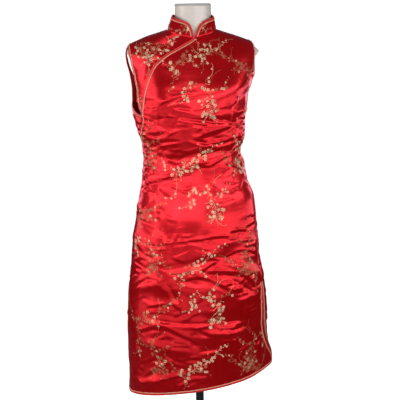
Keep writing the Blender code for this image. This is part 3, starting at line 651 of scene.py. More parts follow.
def lap_grid(rows, columns):
    """Angles and heights of the small right front, from the throat down to the underarm."""
    turn = np.linspace(0, 90, NECK_ROWS, endpoint=False)
    level = np.linspace(neckline(90.0), UNDERARM, rows - NECK_ROWS)
    outer_angle = np.concatenate([-turn, seam_angles(level)[0]])
    outer_height = np.concatenate([neckline(turn), level])
    inner_height = lerp(NECKLINE_FRONT, UNDERARM, np.linspace(0, 1, rows) ** 1.2)
    inner_angle = -on_curve(PLACKET, inner_height)[0] + LAP_ANGLE
    share = np.linspace(0, 1, columns)[None, :]
    return (lerp(outer_angle[:, None], inner_angle[:, None], share),
            lerp(outer_height[:, None], inner_height[:, None] - LAP_DROP, share))


lap_angle, lap_height = (part[::-1] for part in lap_grid(rows=96, columns=56))
under_lap = cloth_piece("satin_under_lap", lap_angle, lap_height, sink=lap_sink(lap_angle, lap_height))

# %% [markdown]
# A mandarin collar is a straight strip with rounded ends that is stiffened and sewn upright into
# the neckline. Here each of its columns stands on the neckline, leans in a little as it rises, and
# shortens towards the throat, which rounds the two ends.

# %% The standing collar
COLLAR_WALL, COLLAR_STAND, COLLAR_LEAN, COLLAR_SIDEWAYS = 0.0016, 0.0368, 0.0108, 0.0042
COLLAR_START, COLLAR_END, COLLAR_ROUNDING, COLLAR_TIP = 1.6, 359.8, 4.3, 0.002
COLLAR_RAISED, COLLAR_PUFF = 0.0014, 0.0006


def collar_stand(angle):
    """The collar's height at each angle: short at its two ends, which rounds them."""
    from_end = np.minimum(angle - COLLAR_START, COLLAR_END - angle)
    return lerp(COLLAR_STAND, COLLAR_TIP, np.exp(-np.maximum(from_end, 0.0) / COLLAR_ROUNDING))


def collar_surface(angle, up):
    """A point in the middle of the collar's wall: round the neck, and metres up from its seam."""
    foot = section(angle, neckline(angle))
    foot = foot[0] + foot[1]
    radial = foot * (1, 1, 0)
    radial = radial / np.linalg.norm(radial, axis=-1, keepdims=True)
    up = np.asarray(up, float)[..., None]
    drawn_in = radial * COLLAR_LEAN - np.array([COLLAR_SIDEWAYS, 0, 0])
    puff = COLLAR_PUFF * np.sin(np.pi * np.clip(up / COLLAR_STAND, 0, 1))
    standing = np.array([0, 0, 1.0]) * (COLLAR_RAISED + up)
    return foot + standing - drawn_in * up / COLLAR_STAND + radial * puff


from_middle = np.linspace(-1, 1, 181)
eased = np.copysign(1 - (1 - np.abs(from_middle)) ** 1.75, from_middle)
collar_angle = lerp(COLLAR_START, COLLAR_END, (1 + eased) / 2)
collar_up = np.linspace(-0.0035, 1.0, 22)[:, None]
collar_up = np.where(collar_up < 0, collar_up, collar_up * collar_stand(collar_angle)[None, :])
collar_angles = collar_angle + 0 * collar_up
_, _, collar_normal = slopes(collar_surface, collar_angles, collar_up, (0.4, 0.001))
collar_points = collar_surface(collar_angles, collar_up) + collar_normal * COLLAR_WALL / 2
collar = add_piece("satin_collar", collar_points, grid_faces(*collar_angles.shape))
around = walked_along(collar_surface(collar_angle, 0 * collar_angle))
set_map(collar, "cut", np.stack([around + 0 * collar_up, collar_up], -1))
thicken(collar, COLLAR_WALL)
print("collar seam %.0f mm long" % (1000 * around[-1]))
for piece in (front, back, under_lap, collar):
    print(piece.name, len(piece.data.polygons), "faces before thickness")

# %% [markdown]
# ## Bound and piped edges
#
# Every raw edge of the dress is folded into a narrow bias tape of orange-red satin, and a fine
# gold cord is caught along the tape's inner side. A curve with a bevel would twist on the creased
# cloth, so the tape's cross-section is carried along the edge: at each step its points are
# placed so many millimetres into the cloth and so many above it. Two legs that meet at a corner
# share one mitred step, as a sewn corner does.

# %% The cross-sections, and even steps along an edge
TAPE_SECTION = (
    # into the cloth, above its middle, in millimetres, round the folded tape
    (6.5, 0.62), (6.5, 0.95), (5.7, 1.22), (3.6, 1.34), (1.4, 1.28), (0.2, 1.08), (-0.5, 0.62),
    (-0.7, 0.15), (-0.5, -0.36), (0.2, -0.66), (1.4, -0.76), (4.6, -0.72), (5.0, -0.46),
    (4.6, -0.24), (0.4, -0.24), (0.0, 0.20), (0.4, 0.62),
)
CORD_SECTION = tuple((7.20 + 0.92 * math.cos(math.radians(45 * i)),
                      1.40 + 0.92 * math.sin(math.radians(45 * i))) for i in range(8))
CORNER_CLEAR = 0.0076
SPACING = 0.003
ROUND_TAPE = 0.016
LONGEST_MITRE, LONGEST_SOFT_MITRE = 1.5, 1.25


def even_steps(angle, height):
    """Angles and heights along an edge at equal distances, and those distances."""
    fine = np.linspace(0, 1, 2001)
    angle = np.interp(fine, np.linspace(0, 1, len(angle)), angle)
    height = np.interp(fine, np.linspace(0, 1, len(height)), height)
    out, middle = section(angle, height)
    walked = walked_along(out + middle)
    stops = np.linspace(0, walked[-1], max(3, int(round(walked[-1] / SPACING)) + 1))
    return np.interp(stops, walked, angle), np.interp(stops, walked, height), stops


def join_legs(legs):
    """One edge from several legs, with no steps so near a corner that the tape would cross itself."""
    angles, heights = [], []
    for index, (angle, height) in enumerate(legs):
        angle, height, stops = even_steps(np.asarray(angle), np.asarray(height))
        keep = np.ones(len(stops), bool)
        if index > 0:
            keep &= stops > CORNER_CLEAR
        if index < len(legs) - 1:
            keep &= (stops < stops[-1] - CORNER_CLEAR) | (stops == stops[-1])
        angles.append(angle[keep])
        heights.append(height[keep])
    return np.concatenate(angles), np.concatenate(heights)


print("tape cut into", len(TAPE_SECTION), "points round, cord into", len(CORD_SECTION))

# %% Carry a cross-section along an edge
def unit(vectors):
    """Vectors brought to length one."""
    return vectors / np.maximum(np.linalg.norm(vectors, axis=-1, keepdims=True), 1e-12)


def along_surface(da, db, direction):
    """How far to go in each coordinate of a surface to move along a direction."""
    aa, ab, bb = (da * da).sum(-1), (da * db).sum(-1), (db * db).sum(-1)
    a, b = (da * direction).sum(-1), (db * direction).sum(-1)
    square = aa * bb - ab * ab
    return (bb * a - ab * b) / square, (aa * b - ab * a) / square


def edge_strip(name, surface, steps, edge, inside, profile, closed=False, seed=0, bumpiness=0.04, soft=0):
    """Carry a cross-section along an edge; inside is a place (angle, height) within the cloth.

    A sharp corner is mitred. With soft, the turn is shared out over the steps beside it.
    """
    angle, height = edge
    points = surface(angle, height)
    da, db, normal = slopes(surface, angle, height, steps)
    segment = unit(np.roll(points, -1, axis=0) - points)
    inward = unit(np.cross(np.roll(normal, -1, axis=0) + normal, segment))
    if not closed:
        inward[-1] = inward[-2]
    before = np.roll(inward, 1, axis=0)
    if not closed:
        before[0] = inward[0]
    mitre = (before + inward) / (1 + (before * inward).sum(-1, keepdims=True))
    for _ in range(soft):
        last, following = np.roll(mitre, 1, axis=0), np.roll(mitre, -1, axis=0)
        if not closed:
            last[0], following[-1] = mitre[0], mitre[-1]
        mitre = (last + 2 * mitre + following) / 4
    longest = LONGEST_SOFT_MITRE if soft else LONGEST_MITRE
    mitre *= np.minimum(1.0, longest / np.linalg.norm(mitre, axis=-1, keepdims=True))
    middle = len(angle) // 2
    towards = surface(*(np.array([v]) for v in inside))[0] - points[middle]
    if mitre[middle] @ towards < 0:
        mitre = -mitre
    turn, climb = along_surface(da, db, mitre)
    random = np.random.default_rng(seed)
    wobble = np.convolve(random.normal(0, 1, len(angle) + 8), np.ones(9) / 3, "valid") * bumpiness
    rings = []
    for into, above in profile:
        into = 0.001 * into * (1 + wobble * (into > 2))
        above = 0.001 * above * (1 + 1.5 * wobble * (above > 0.9))
        rings.append(surface(angle + into * turn, height + into * climb) + normal * above[:, None])
    rings = np.stack(rings, 1)
    steps_along, round_it = rings.shape[:2]
    faces = grid_faces(steps_along, round_it, close_rows=closed, close_columns=True)
    if not closed:
        faces.append(tuple(range(round_it)))
        faces.append(tuple((steps_along - 1) * round_it + i for i in reversed(range(round_it))))
    piece = add_piece(name, rings, faces)
    walked = walked_along(points)
    across = np.linspace(0, ROUND_TAPE, round_it)
    set_map(piece, "length", np.stack(np.broadcast_arrays(walked[:, None], across[None, :]), -1))
    face_outwards(piece)
    return piece, walked[-1]


def face_outwards(piece):
    """Turn a closed mesh right side out."""
    shape = bmesh.new()
    shape.from_mesh(piece.data)
    if shape.calc_volume(signed=True) < 0:
        bmesh.ops.reverse_faces(shape, faces=shape.faces[:])
    shape.to_mesh(piece.data)
    shape.free()


print("a step along an edge is %.0f mm" % (1000 * SPACING))

# %% [markdown]
# The dress is bound along its slits and hem, round its armholes, along the curved front edge and
# over its collar. A slit and a hem follow different rules, so an edge is put together from legs.
# The cord of the front edge runs on down the side seam for a few centimetres, past its tape.

# %% Edges of the skirt, the armholes, the placket and the collar
def skirt_edge(back):
    """Down one slit, along the hem and up the other slit."""
    sides = (2, 3) if back else (0, 1)
    share = np.linspace(0, 1, 120)
    legs = []
    for side in sides:
        angle = slit_angles(side, share)
        legs.append((angle, lerp(hem(angle), SLIT_TOP, share)))
    line = np.linspace(legs[0][0][0], legs[1][0][0], 240)
    return join_legs([(legs[0][0][::-1], legs[0][1][::-1]), (line, hem(line)), legs[1]])


def hole_surface(angle, height):
    """The cloth round the right armhole, which is deeper at its front, on the small right front."""
    angle, height = as_arrays(angle, height)
    at_front, _, _, at_back = seam_angles(height)
    share = ramp(angle - (at_front + at_back - 360.0) / 2, -2.0, 2.0)
    out, _ = section(angle, height)
    return cloth(angle, height) - unit(out) * (lap_sink(angle, height) * share)[..., None]


level = np.linspace(UNDERARM, SHOULDER_TIP, 160)
right_front, left_front, left_back, right_back = seam_angles(level + 1e-6)
right_front[0], left_front[0], left_back[0], right_back[0] = seam_angles(UNDERARM)


def armhole_edge(at_front, at_back):
    """Up the front of an armhole and down its back."""
    return even_steps(np.concatenate([at_front, at_back[-2::-1]]),
                      np.concatenate([level, level[-2::-1]]))[:2]


left_hole = tuple(part[:-1] for part in armhole_edge(left_front, left_back))
right_hole = armhole_edge(right_front, right_back - 360.0)
placket_angle, placket_height = PLACKET_LINE[::-1].T
placket_edge = even_steps(placket_angle, placket_height)[:2]
SIDE_CORD_END = 1.105
seam_level = np.linspace(UNDERARM, SIDE_CORD_END, 60)
placket_and_seam = even_steps(np.concatenate([placket_angle, seam_angles(seam_level)[0][1:]]),
                              np.concatenate([placket_height, seam_level[1:]]))[:2]
collar_edge = collar_angle[1:-1], collar_stand(collar_angle[1:-1])

EDGE_RUNS = (
    # name, surface, steps, edge, a place inside the cloth, closed
    ("hem_front", cloth, CLOTH_STEPS, skirt_edge(False), (0.0, 0.60), False),
    ("hem_back", cloth, CLOTH_STEPS, skirt_edge(True), (180.0, 0.60), False),
    ("armhole_left", cloth, CLOTH_STEPS, left_hole, (90.0, 1.41), True),
    ("armhole_right", hole_surface, CLOTH_STEPS, right_hole, (-90.0, 1.41), False),
    ("placket", cloth, CLOTH_STEPS, placket_edge, (20.0, 1.25), False),
    ("collar", collar_surface, (0.3, 0.001), collar_edge, (180.0, 0.010), False),
)
tapes, cords, edge_lengths = {}, {}, {}
for index, (name, surface, steps, edge, inside, closed) in enumerate(EDGE_RUNS):
    soft = 12 if name.startswith("armhole") else 0
    tapes[name], edge_lengths[name] = edge_strip("tape_" + name, surface, steps, edge, inside,
                                                 TAPE_SECTION, closed, seed=20 + index, soft=soft)
    if name == "placket":
        edge = placket_and_seam
    cords[name], _ = edge_strip("cord_" + name, surface, steps, edge, inside, CORD_SECTION, closed,
                                seed=40 + index, bumpiness=0.01, soft=soft)
    print(name, "edge %.0f mm" % (1000 * edge_lengths[name]))

# %% [markdown]
# ## The dress form and its stand
#
# The dress hangs on a limbless form of glossy cream plastic. It is one smooth closed shell inside
# the cloth, so it is drawn from the same sections, pulled in by the ease that a garment leaves
# round a body. Its neck rises out of the collar and ends in a thin grey rim with a flat top. Rings
# of points that share one count make a clean tube without any hole at the seam.

# %% The form
FORM_NECK = (
    # height, half_width, front, back, shift_x, shift_y
    (1.4270, 0.0610, 0.0545, 0.0570, -0.0075, 0.006),
    (1.4340, 0.0560, 0.0525, 0.0545, -0.0050, 0.005),
    (1.4500, 0.0530, 0.0510, 0.0520, -0.0025, 0.004),
    (1.4750, 0.0518, 0.0505, 0.0515, -0.0018, 0.004),
    (1.4930, 0.0512, 0.0505, 0.0515, -0.0016, 0.004),
)
ROUND = 144
SHOULDER_OUT, SHOULDER_ANGLE, SHOULDER_TURN = 0.0135, 88.0, 6.0
SHOULDER_HEIGHT, SHOULDER_REACH = 1.358, 0.013


def ring_tube(name, rings):
    """A closed solid through rings of points, each end closed with a flat face."""
    rows, columns = rings.shape[:2]
    faces = grid_faces(rows, columns, close_columns=True)
    faces.append(tuple(range(columns - 1, -1, -1)))
    faces.append(tuple((rows - 1) * columns + i for i in range(columns)))
    piece = add_piece(name, rings, faces)
    face_outwards(piece)
    return piece


def oval(turn, half_width, depth_front, depth_back, shift_x, shift_y, height):
    """A level ring, deeper or shallower at its front than at its back."""
    share = np.cos(turn)
    depth = np.where(share > 0, depth_front, depth_back)
    return np.stack([half_width * np.sin(turn) + shift_x, -depth * share + shift_y, height + 0 * turn], -1)


def form_surface(angle, height):
    """The form's skin: the smooth section drawn in by the ease, and let out at the left shoulder."""
    out, middle = section(angle, height)
    front_ease, side_ease = on_curve(EASE, height)
    drawn_in = lerp(front_ease, side_ease, np.sin(np.radians(angle)) ** 2)
    drawn_in = drawn_in - (SHOULDER_OUT * bell(turn_between(angle, SHOULDER_ANGLE), SHOULDER_TURN)
                           * bell(height - SHOULDER_HEIGHT, SHOULDER_REACH))
    _, _, normal = slopes(lambda turned, raised: sum(section(turned, raised)), angle, height, (0.5, 0.001))
    return out + middle - normal * drawn_in[..., None]


turns = np.linspace(0, 360, ROUND, endpoint=False)
levels = np.concatenate([[FORM_BOTTOM, 0.702, 0.706, 0.712], np.linspace(0.722, 1.34, 96),
                         np.linspace(1.344, 1.421, 34)])
form_rings = form_surface(turns[None, :], levels[:, None] + 0 * turns)
for row, (height, shrink) in enumerate(((FORM_BOTTOM, 0.955), (0.7014, 0.975), (0.705, 0.991))):
    form_rings[row, :, 2] = height
    middle = form_rings[row].mean(0)
    form_rings[row] = middle + (form_rings[row] - middle) * (shrink, shrink, 1)
NECK_TOP = 1.4925
neck_levels = np.linspace(1.4265, NECK_TOP, 36)
neck = on_curve(FORM_NECK, neck_levels)
neck_rings = np.stack([oval(np.radians(turns), *values, height)
                       for values, height in zip(neck.T, neck_levels)])
form_body = ring_tube("form_body", np.concatenate([form_rings, neck_rings]))
CAP_OUTLINE = ((0.0000, 0.0), (-0.0004, 0.0), (-0.0004, 0.0028), (-0.0012, 0.0038), (-0.0030, 0.0045),
               (-0.0060, 0.0045))
values = on_curve(FORM_NECK, NECK_TOP)
cap_rings = np.stack([oval(np.radians(turns), values[0] + out, values[1] + out, values[2] + out,
                           values[3], values[4], NECK_TOP + up) for out, up in CAP_OUTLINE])
form_cap = ring_tube("form_neck_rim", cap_rings)
print("form:", len(form_body.data.polygons), "faces; neck %.0f mm across" % (2000 * values[0]))

# %% [markdown]
# The form stands on a round tube that rises from a spun steel base. Both are turned shapes, so
# a short outline of radius and height is spun round the upright axis.

# %% The pole and the base
BASE_OUTLINE = (
    # radius, height
    (0.1860, 0.0000), (0.1888, 0.0006), (0.1900, 0.0024), (0.1900, 0.0046), (0.1890, 0.0066),
    (0.1862, 0.0090), (0.1600, 0.0107), (0.1200, 0.0122), (0.0820, 0.0133), (0.0600, 0.0141),
    (0.0470, 0.0155), (0.0370, 0.0184), (0.0300, 0.0222), (0.0262, 0.0262), (0.0240, 0.0310),
    (0.0225, 0.0400), (0.0212, 0.0520), (0.0206, 0.0562), (0.0196, 0.0576), (0.0180, 0.0580),
)
POLE_OUTLINE = ((0.0112, 0.0583), (0.0122, 0.0588), (0.0125, 0.0600), (0.0125, 0.2200),
                (0.0125, 0.4600), (0.0125, 0.6980), (0.0122, 0.6992), (0.0112, 0.6997))


def spun(name, outline, sides=128):
    """Spin an outline of radius and height round the upright axis."""
    turn = np.linspace(0, 2 * np.pi, sides, endpoint=False)
    rings = np.array([[(radius * math.cos(t), radius * math.sin(t), height) for t in turn]
                      for radius, height in outline])
    return ring_tube(name, rings)


base = spun("base_plate", BASE_OUTLINE)
pole = spun("pole_tube", POLE_OUTLINE, 48)
print("base %.0f mm across, pole %.0f mm" % (2000 * BASE_OUTLINE[3][0], 2000 * POLE_OUTLINE[3][0]))

# %% [markdown]
# ## Finishes
#
# Every finish is a Principled shader with a few textures behind it. They could be wired by hand in
# the editor, but they share the same steps, so each step is a short helper named for what it does.
# Numbers that are the same everywhere are set on the shader's own sockets.

# %% Helpers for materials
def new_material(name, colour, **settings):
    """A named Principled material; settings are its own sockets."""
    made = bpy.data.materials.new(name)
    made.use_nodes = True
    shader = made.node_tree.nodes["Principled BSDF"]
    shader.inputs["Base Color"].default_value = (*colour, 1.0)
    for socket, value in settings.items():
        shader.inputs[socket.replace("_", " ")].default_value = value
    return made, made.node_tree, shader


def node(tree, kind, inputs=(), **settings):
    """Add a node, set its options, and set or link its inputs by name or place."""
    made = tree.nodes.new(kind)
    for option, value in settings.items():
        setattr(made, option, value)
    for socket, value in dict(inputs).items():
        if isinstance(value, bpy.types.NodeSocket):
            tree.links.new(value, made.inputs[socket])
        else:
            made.inputs[socket].default_value = value
    return made


def noise(tree, place, scale, detail=2.0, roughness=0.5):
    """Soft random patches; a larger scale makes them smaller."""
    return node(tree, "ShaderNodeTexNoise", {"Vector": place, "Scale": scale, "Detail": detail,
                                             "Roughness": roughness}).outputs["Fac"]


def between(tree, value, low, high, start=0.0, end=1.0):
    """Map a value's range onto another."""
    return node(tree, "ShaderNodeMapRange", {"Value": value, "From Min": start, "From Max": end,
                                             "To Min": low, "To Max": high}).outputs["Result"]


def mixed(tree, share, first, second):
    """A colour between two colours."""
    return node(tree, "ShaderNodeMix", {0: share, 6: (*first, 1), 7: (*second, 1)},
                data_type="RGBA").outputs[2]


def scaled(tree, place, factors):
    """Coordinates stretched by a factor for each axis."""
    return node(tree, "ShaderNodeMapping", {"Vector": place, "Scale": factors}).outputs["Vector"]


def turned(tree, place, angle):
    """Coordinates turned in the plane of the cloth."""
    return node(tree, "ShaderNodeMapping", {"Vector": place, "Rotation": (0, 0, angle)}).outputs["Vector"]


def bands(tree, place, scale, distortion, detail=2.0, direction="X"):
    """Soft parallel bands, for threads and strands."""
    return node(tree, "ShaderNodeTexWave",
                {"Vector": place, "Scale": scale, "Distortion": distortion, "Detail": detail},
                wave_type="BANDS", bands_direction=direction).outputs["Fac"]


def maths(tree, operation, *values):
    """One sum or product at each point of a surface."""
    return node(tree, "ShaderNodeMath", dict(enumerate(values)), operation=operation).outputs[0]


def flat_place(tree, map_name):
    """The flat coordinates of a map of the cloth."""
    return node(tree, "ShaderNodeUVMap", uv_map=map_name).outputs["UV"]


def hard_place(tree):
    """The coordinates of a hard piece, which has no map."""
    return node(tree, "ShaderNodeTexCoord").outputs["Object"]


def feed(tree, shader, **values):
    """Link values to the sockets of a shader."""
    for socket, value in values.items():
        tree.links.new(value, shader.inputs[socket.replace("_", " ")])


def bump(tree, height, strength, distance):
    """A normal that is tilted by a height."""
    return node(tree, "ShaderNodeBump", {"Height": height, "Strength": strength,
                                         "Distance": distance}).outputs[0]


print("helpers ready,", len(bpy.data.materials), "materials so far")

# %% [markdown]
# Satin is bright where its long floating threads face the light and deep where they turn away.
# A Principled shader gives this when it is part metallic, its highlight is stretched across the
# threads and a thin coat adds the last gloss. The weave is a fine bump on the cut map, and slow
# noise makes the sheen uneven, as real rolled and folded cloth is. The wrong side of satin is
# matt, so the cloth's inner face gets a duller finish of its own.

# %% Satin brocade ground
FINE_CREASES = 0.07


def satin_material(name, colour, deep, metallic, rough, map_name, thread=0.00028, weave=0.10, gloss=0.15):
    """Satin: threads too fine to see one by one, a stretched sheen and faint uneven streaks."""
    made, tree, shader = new_material(
        name, colour, Metallic=metallic, Roughness=rough, Anisotropic=0.2, Specular_IOR_Level=1.0,
        Specular_Tint=(1.0, 0.42, 0.70, 1.0), Coat_Weight=gloss, Coat_Roughness=0.20)
    place = flat_place(tree, map_name)
    streaks = noise(tree, scaled(tree, place, (90.0, 7.0, 1.0)), 1.0)
    tone = maths(tree, "MULTIPLY", streaks, noise(tree, place, 16.0))
    feed(tree, shader, Base_Color=mixed(tree, between(tree, tone, 0.15, 0.85, 0.12, 0.40), deep, colour),
         Roughness=between(tree, streaks, rough - 0.02, rough + 0.03))
    warp = bands(tree, place, 0.314 / thread / 10, 0.4, 1.0)
    weft = bands(tree, place, 0.314 / thread / 12, 0.4, 1.0, "Y")
    creased = noise(tree, scaled(tree, place, (8.0, 22.0, 1.0)), 1.0, 2.5, 0.55)
    ridge = maths(tree, "ABSOLUTE", between(tree, creased, -1.0, 1.0, 0.28, 0.72))
    creased = bump(tree, maths(tree, "POWER", ridge, 0.45), FINE_CREASES, 0.0035)
    woven = node(tree, "ShaderNodeBump", {
        "Height": maths(tree, "MULTIPLY", warp, weft), "Strength": weave, "Distance": 0.0002,
        "Normal": creased}).outputs[0]
    tangent = node(tree, "ShaderNodeTangent", direction_type="UV_MAP", uv_map=map_name).outputs[0]
    feed(tree, shader, Normal=woven, Coat_Normal=woven, Tangent=tangent)
    return made


brocade = satin_material("brocade satin", (0.90, 0.004, 0.006), (0.76, 0.001, 0.002), 0.62, 0.235, "cut",
                         weave=0.02)
reverse = satin_material("satin reverse", (0.62, 0.030, 0.018), (0.50, 0.022, 0.014), 0.0, 0.55, "cut",
                         thread=0.0005, gloss=0.0)
tape_satin = satin_material("binding satin", (0.97, 0.050, 0.022), (0.87, 0.038, 0.017), 0.15, 0.42,
                            "length", thread=0.0004, weave=0.2, gloss=0.3)
cord_gold, tree, shader = new_material("gold piping", (1.0, 0.60, 0.38), Metallic=0.15,
                                       Roughness=0.45, Sheen_Weight=0.2)
strands = bands(tree, turned(tree, flat_place(tree, "length"), math.radians(35)), 260.0, 0.3)
feed(tree, shader, Base_Color=mixed(tree, strands, (1.0, 0.52, 0.34), (1.0, 0.76, 0.56)),
     Normal=bump(tree, strands, 0.4, 0.0003))
print("cloth finishes:", brocade.name, tape_satin.name, cord_gold.name)

# %% [markdown]
# The form is smooth moulded plastic that has aged a little unevenly, and its stand is black
# enamelled metal. One flat colour each would look new and thin. A soft noise tints the plastic and
# marks the enamel instead, and a fainter one makes their gloss uneven.

# %% Form, rim and stand finishes
form_shell, tree, shader = new_material("cream plastic", (0.92, 0.82, 0.75), Roughness=0.24,
                                        Coat_Weight=0.5, Coat_Roughness=0.12)
place = hard_place(tree)
dusty = noise(tree, place, 14.0, 4.0, 0.6)
feed(tree, shader, Base_Color=mixed(tree, dusty, (0.90, 0.80, 0.73), (0.95, 0.86, 0.79)),
     Roughness=between(tree, noise(tree, place, 60.0, 3.0), 0.20, 0.30),
     Normal=bump(tree, noise(tree, place, 220.0), 0.05, 0.0005))

rim_grey, tree, shader = new_material("grey rim", (0.70, 0.69, 0.67), Roughness=0.45)
mottled = noise(tree, hard_place(tree), 80.0, 3.0)
feed(tree, shader, Base_Color=mixed(tree, mottled, (0.64, 0.63, 0.61), (0.76, 0.75, 0.73)))

black_enamel, tree, shader = new_material("black enamel", (0.016, 0.016, 0.017), Roughness=0.32,
                                          Metallic=0.1, Coat_Weight=0.4, Coat_Roughness=0.15)
place = hard_place(tree)
scuffs = noise(tree, scaled(tree, place, (30.0, 30.0, 6.0)), 1.0, 5.0, 0.7)
feed(tree, shader, Base_Color=mixed(tree, scuffs, (0.012, 0.012, 0.013), (0.030, 0.030, 0.031)),
     Roughness=between(tree, scuffs, 0.26, 0.46),
     Normal=bump(tree, noise(tree, place, 900.0, 2.0, 0.6), 0.12, 0.0003))

for piece in (front, back, under_lap, collar):
    piece.data.materials.append(brocade)
    piece.data.materials.append(reverse)
for piece in tapes.values():
    piece.data.materials.append(tape_satin)
for piece in cords.values():
    piece.data.materials.append(cord_gold)
form_body.data.materials.append(form_shell)
form_cap.data.materials.append(rim_grey)
for piece in (pole, base):
    piece.data.materials.append(black_enamel)
print("finishes:", len(bpy.data.materials))

# %% [markdown]
# ## Woven plum blossom
#
# Brocade carries its pattern in extra gold and bronze threads that float over the satin. Here the
# pattern is plum blossom: boughs with round five-petalled flowers, buds and fine twigs. A painted
# texture would go soft, so the flowers are low raised shapes. They are laid out flat, in tape
# measure coordinates, by a rule: a bough is a bent line, and flowers sit left and right along it.

# %% One flower and one bud
def domed_disc(outline, rise, sink):
    """A low dome: its middle stands up and its rim sinks into the cloth."""
    outline = np.asarray(outline)
    middle = outline.mean(0)
    points = [(*middle, rise)] + [(x, y, -sink) for x, y in outline]
    count = len(outline)
    return points, [(0, 1 + i, 1 + (i + 1) % count) for i in range(count)]


def flat_shape(name, discs):
    """One mesh from several low domes."""
    points, faces = [], []
    for disc_points, disc_faces in discs:
        faces += [tuple(len(points) + i for i in face) for face in disc_faces]
        points += disc_points
    return add_piece(name, points, faces)


def petal(turn, middle=0.56, long=0.46, wide=0.36, corners=7):
    """A rounded petal whose broad end points outwards."""
    spots = []
    for i in range(corners):
        angle = 2 * math.pi * i / corners
        x, y = middle + long * math.cos(angle), wide * math.sin(angle) * (1 + 0.25 * math.cos(angle))
        spots.append((x * math.cos(turn) - y * math.sin(turn), x * math.sin(turn) + y * math.cos(turn)))
    return spots


HEART = [(0.10 * math.cos(angle), 0.10 * math.sin(angle)) for angle in (0, 1.57, 3.14, 4.71)]
flower = flat_shape("flower", [domed_disc(petal(2 * math.pi * i / 5), rise=0.07, sink=0.05)
                               for i in range(5)] + [domed_disc(HEART, rise=0.05, sink=0.05)])
bud = flat_shape("bud", [domed_disc(petal(0, middle=0.15, long=0.62, wide=0.50), rise=0.10, sink=0.08)])
print("a flower has", len(flower.data.polygons), "faces and a bud", len(bud.data.polygons))

# %% The boughs, and where they lie
FLOWER, BUD, TWIG = 0, 1, 2
FLOWERS_FOR_EACH = 1.45
FLOWER_SIZES = (0.50, 0.66, 0.80, 0.92, 1.02)
SMALLEST_FLOWER, SHORTEST_TWIG = 0.0032, 0.0035
BUD_CHANCE, BRONZE_ON_BRONZE, BRONZE_ON_GOLD = 0.15, 0.85, 0.22
HANGING_SPRIG = (
    # x1, y1, x2, y2, bow, flowers, spread, size, all in millimetres
    (14, 108, -5, 62, 9, 3, 3, 6.5), (-7, 66, 2, 22, -6, 7, 8, 10.5), (0, 20, 6, -36, 6, 17, 17, 11.0),
    (-9, 40, -46, 56, 6, 4, 5, 9.0), (-50, 60, -54, 2, -8, 9, 7, 10.5), (6, 18, 50, 40, 6, 5, 6, 9.5),
    (-52, 20, -96, -2, 6, 5, 4, 6.5), (8, -30, 32, -58, -5, 4, 5, 6.0), (6, 62, 38, 88, 5, 3, 3, 5.0),
    (-20, -34, 22, -38, 3, 7, 6, 11.0), (44, 38, 62, 64, 4, 3, 4, 6.5),
)
CLIMBING_SPRIG = (
    (-44, -56, -34, -10, 6, 9, 10, 11.0), (-34, -10, -6, 8, -4, 10, 12, 11.0),
    (-6, 6, 60, 52, -8, 12, 7, 10.5), (-8, -6, 26, -16, 6, 6, 6, 9.5), (-36, -16, -82, 12, 9, 7, 6, 8.0),
    (-82, 12, -96, 48, 5, 4, 3, 6.0), (26, 30, 22, 64, -5, 3, 3, 6.0), (-46, -54, -58, -88, 4, 3, 3, 6.5),
    (58, 50, 92, 62, 3, 4, 3, 7.0),
)
COLLAR_SPRIG = (
    (-13, -9, 1, 9, 3, 5, 7, 8.0), (0, 6, 15, 10, -2, 3, 4, 7.0), (-6, -6, 12, -7, 3, 3, 4, 7.5),
    (12, -6, 28, -9, 3, 3, 3, 5.0),
)


def lay_sprig(sprig, across, up, mirror, scale, dull, random, flowers, twigs):
    """Add a sprig's flowers and twigs to the flat layout; dull is the share in bronze thread."""
    for x1, y1, x2, y2, bow, count, spread, size in sprig:
        along = np.linspace(0, 1, 9)
        dx, dy = x2 - x1, y2 - y1
        length = math.hypot(dx, dy)
        bend = 4 * bow * along * (1 - along)
        line = np.stack([x1 + dx * along - dy / length * bend, y1 + dy * along + dx / length * bend], -1)
        line = line * (mirror * scale / 1000, scale / 1000) + (across, up)
        bronze = random.random() < dull
        twigs[int(bronze or random.random() < 0.6)].append(line)
        way, onward = np.array([-dy, dx * mirror]) / length, np.array([dx * mirror, dy]) / length
        count = round(FLOWERS_FOR_EACH * count)
        for i in range(count):
            t = (i + random.uniform(0.15, 1.05)) / count
            aside = random.choice((-1, 1)) * spread * random.uniform(0.20, 1.55) * scale / 1000
            spot = np.array([np.interp(t, along, line[:, 0]), np.interp(t, along, line[:, 1])])
            far = spot + way * aside + onward * abs(aside) * random.uniform(0.1, 1.2)
            if abs(aside) > SHORTEST_TWIG:
                twigs[int(bronze or random.random() < 0.5)].append(
                    np.array([spot, lerp(spot, far, 0.6) + random.normal(0, 0.0006, 2), far]))
            radius = size * random.choice(FLOWER_SIZES) * scale / 2000
            kind = BUD if radius < SMALLEST_FLOWER or random.random() < BUD_CHANCE else FLOWER
            tone = int(random.random() < (BRONZE_ON_BRONZE if bronze else BRONZE_ON_GOLD))
            turn = random.uniform(0, 6.28)
            flowers[tone].append((*far, kind, turn, radius * (0.8 if kind == BUD else 1.0)))




def column(count, sprig, across, top, apart, mirror, scale, dull):
    """Sprigs one under the other."""
    return [(sprig, across, top - apart * k, mirror, scale, dull) for k in range(count)]


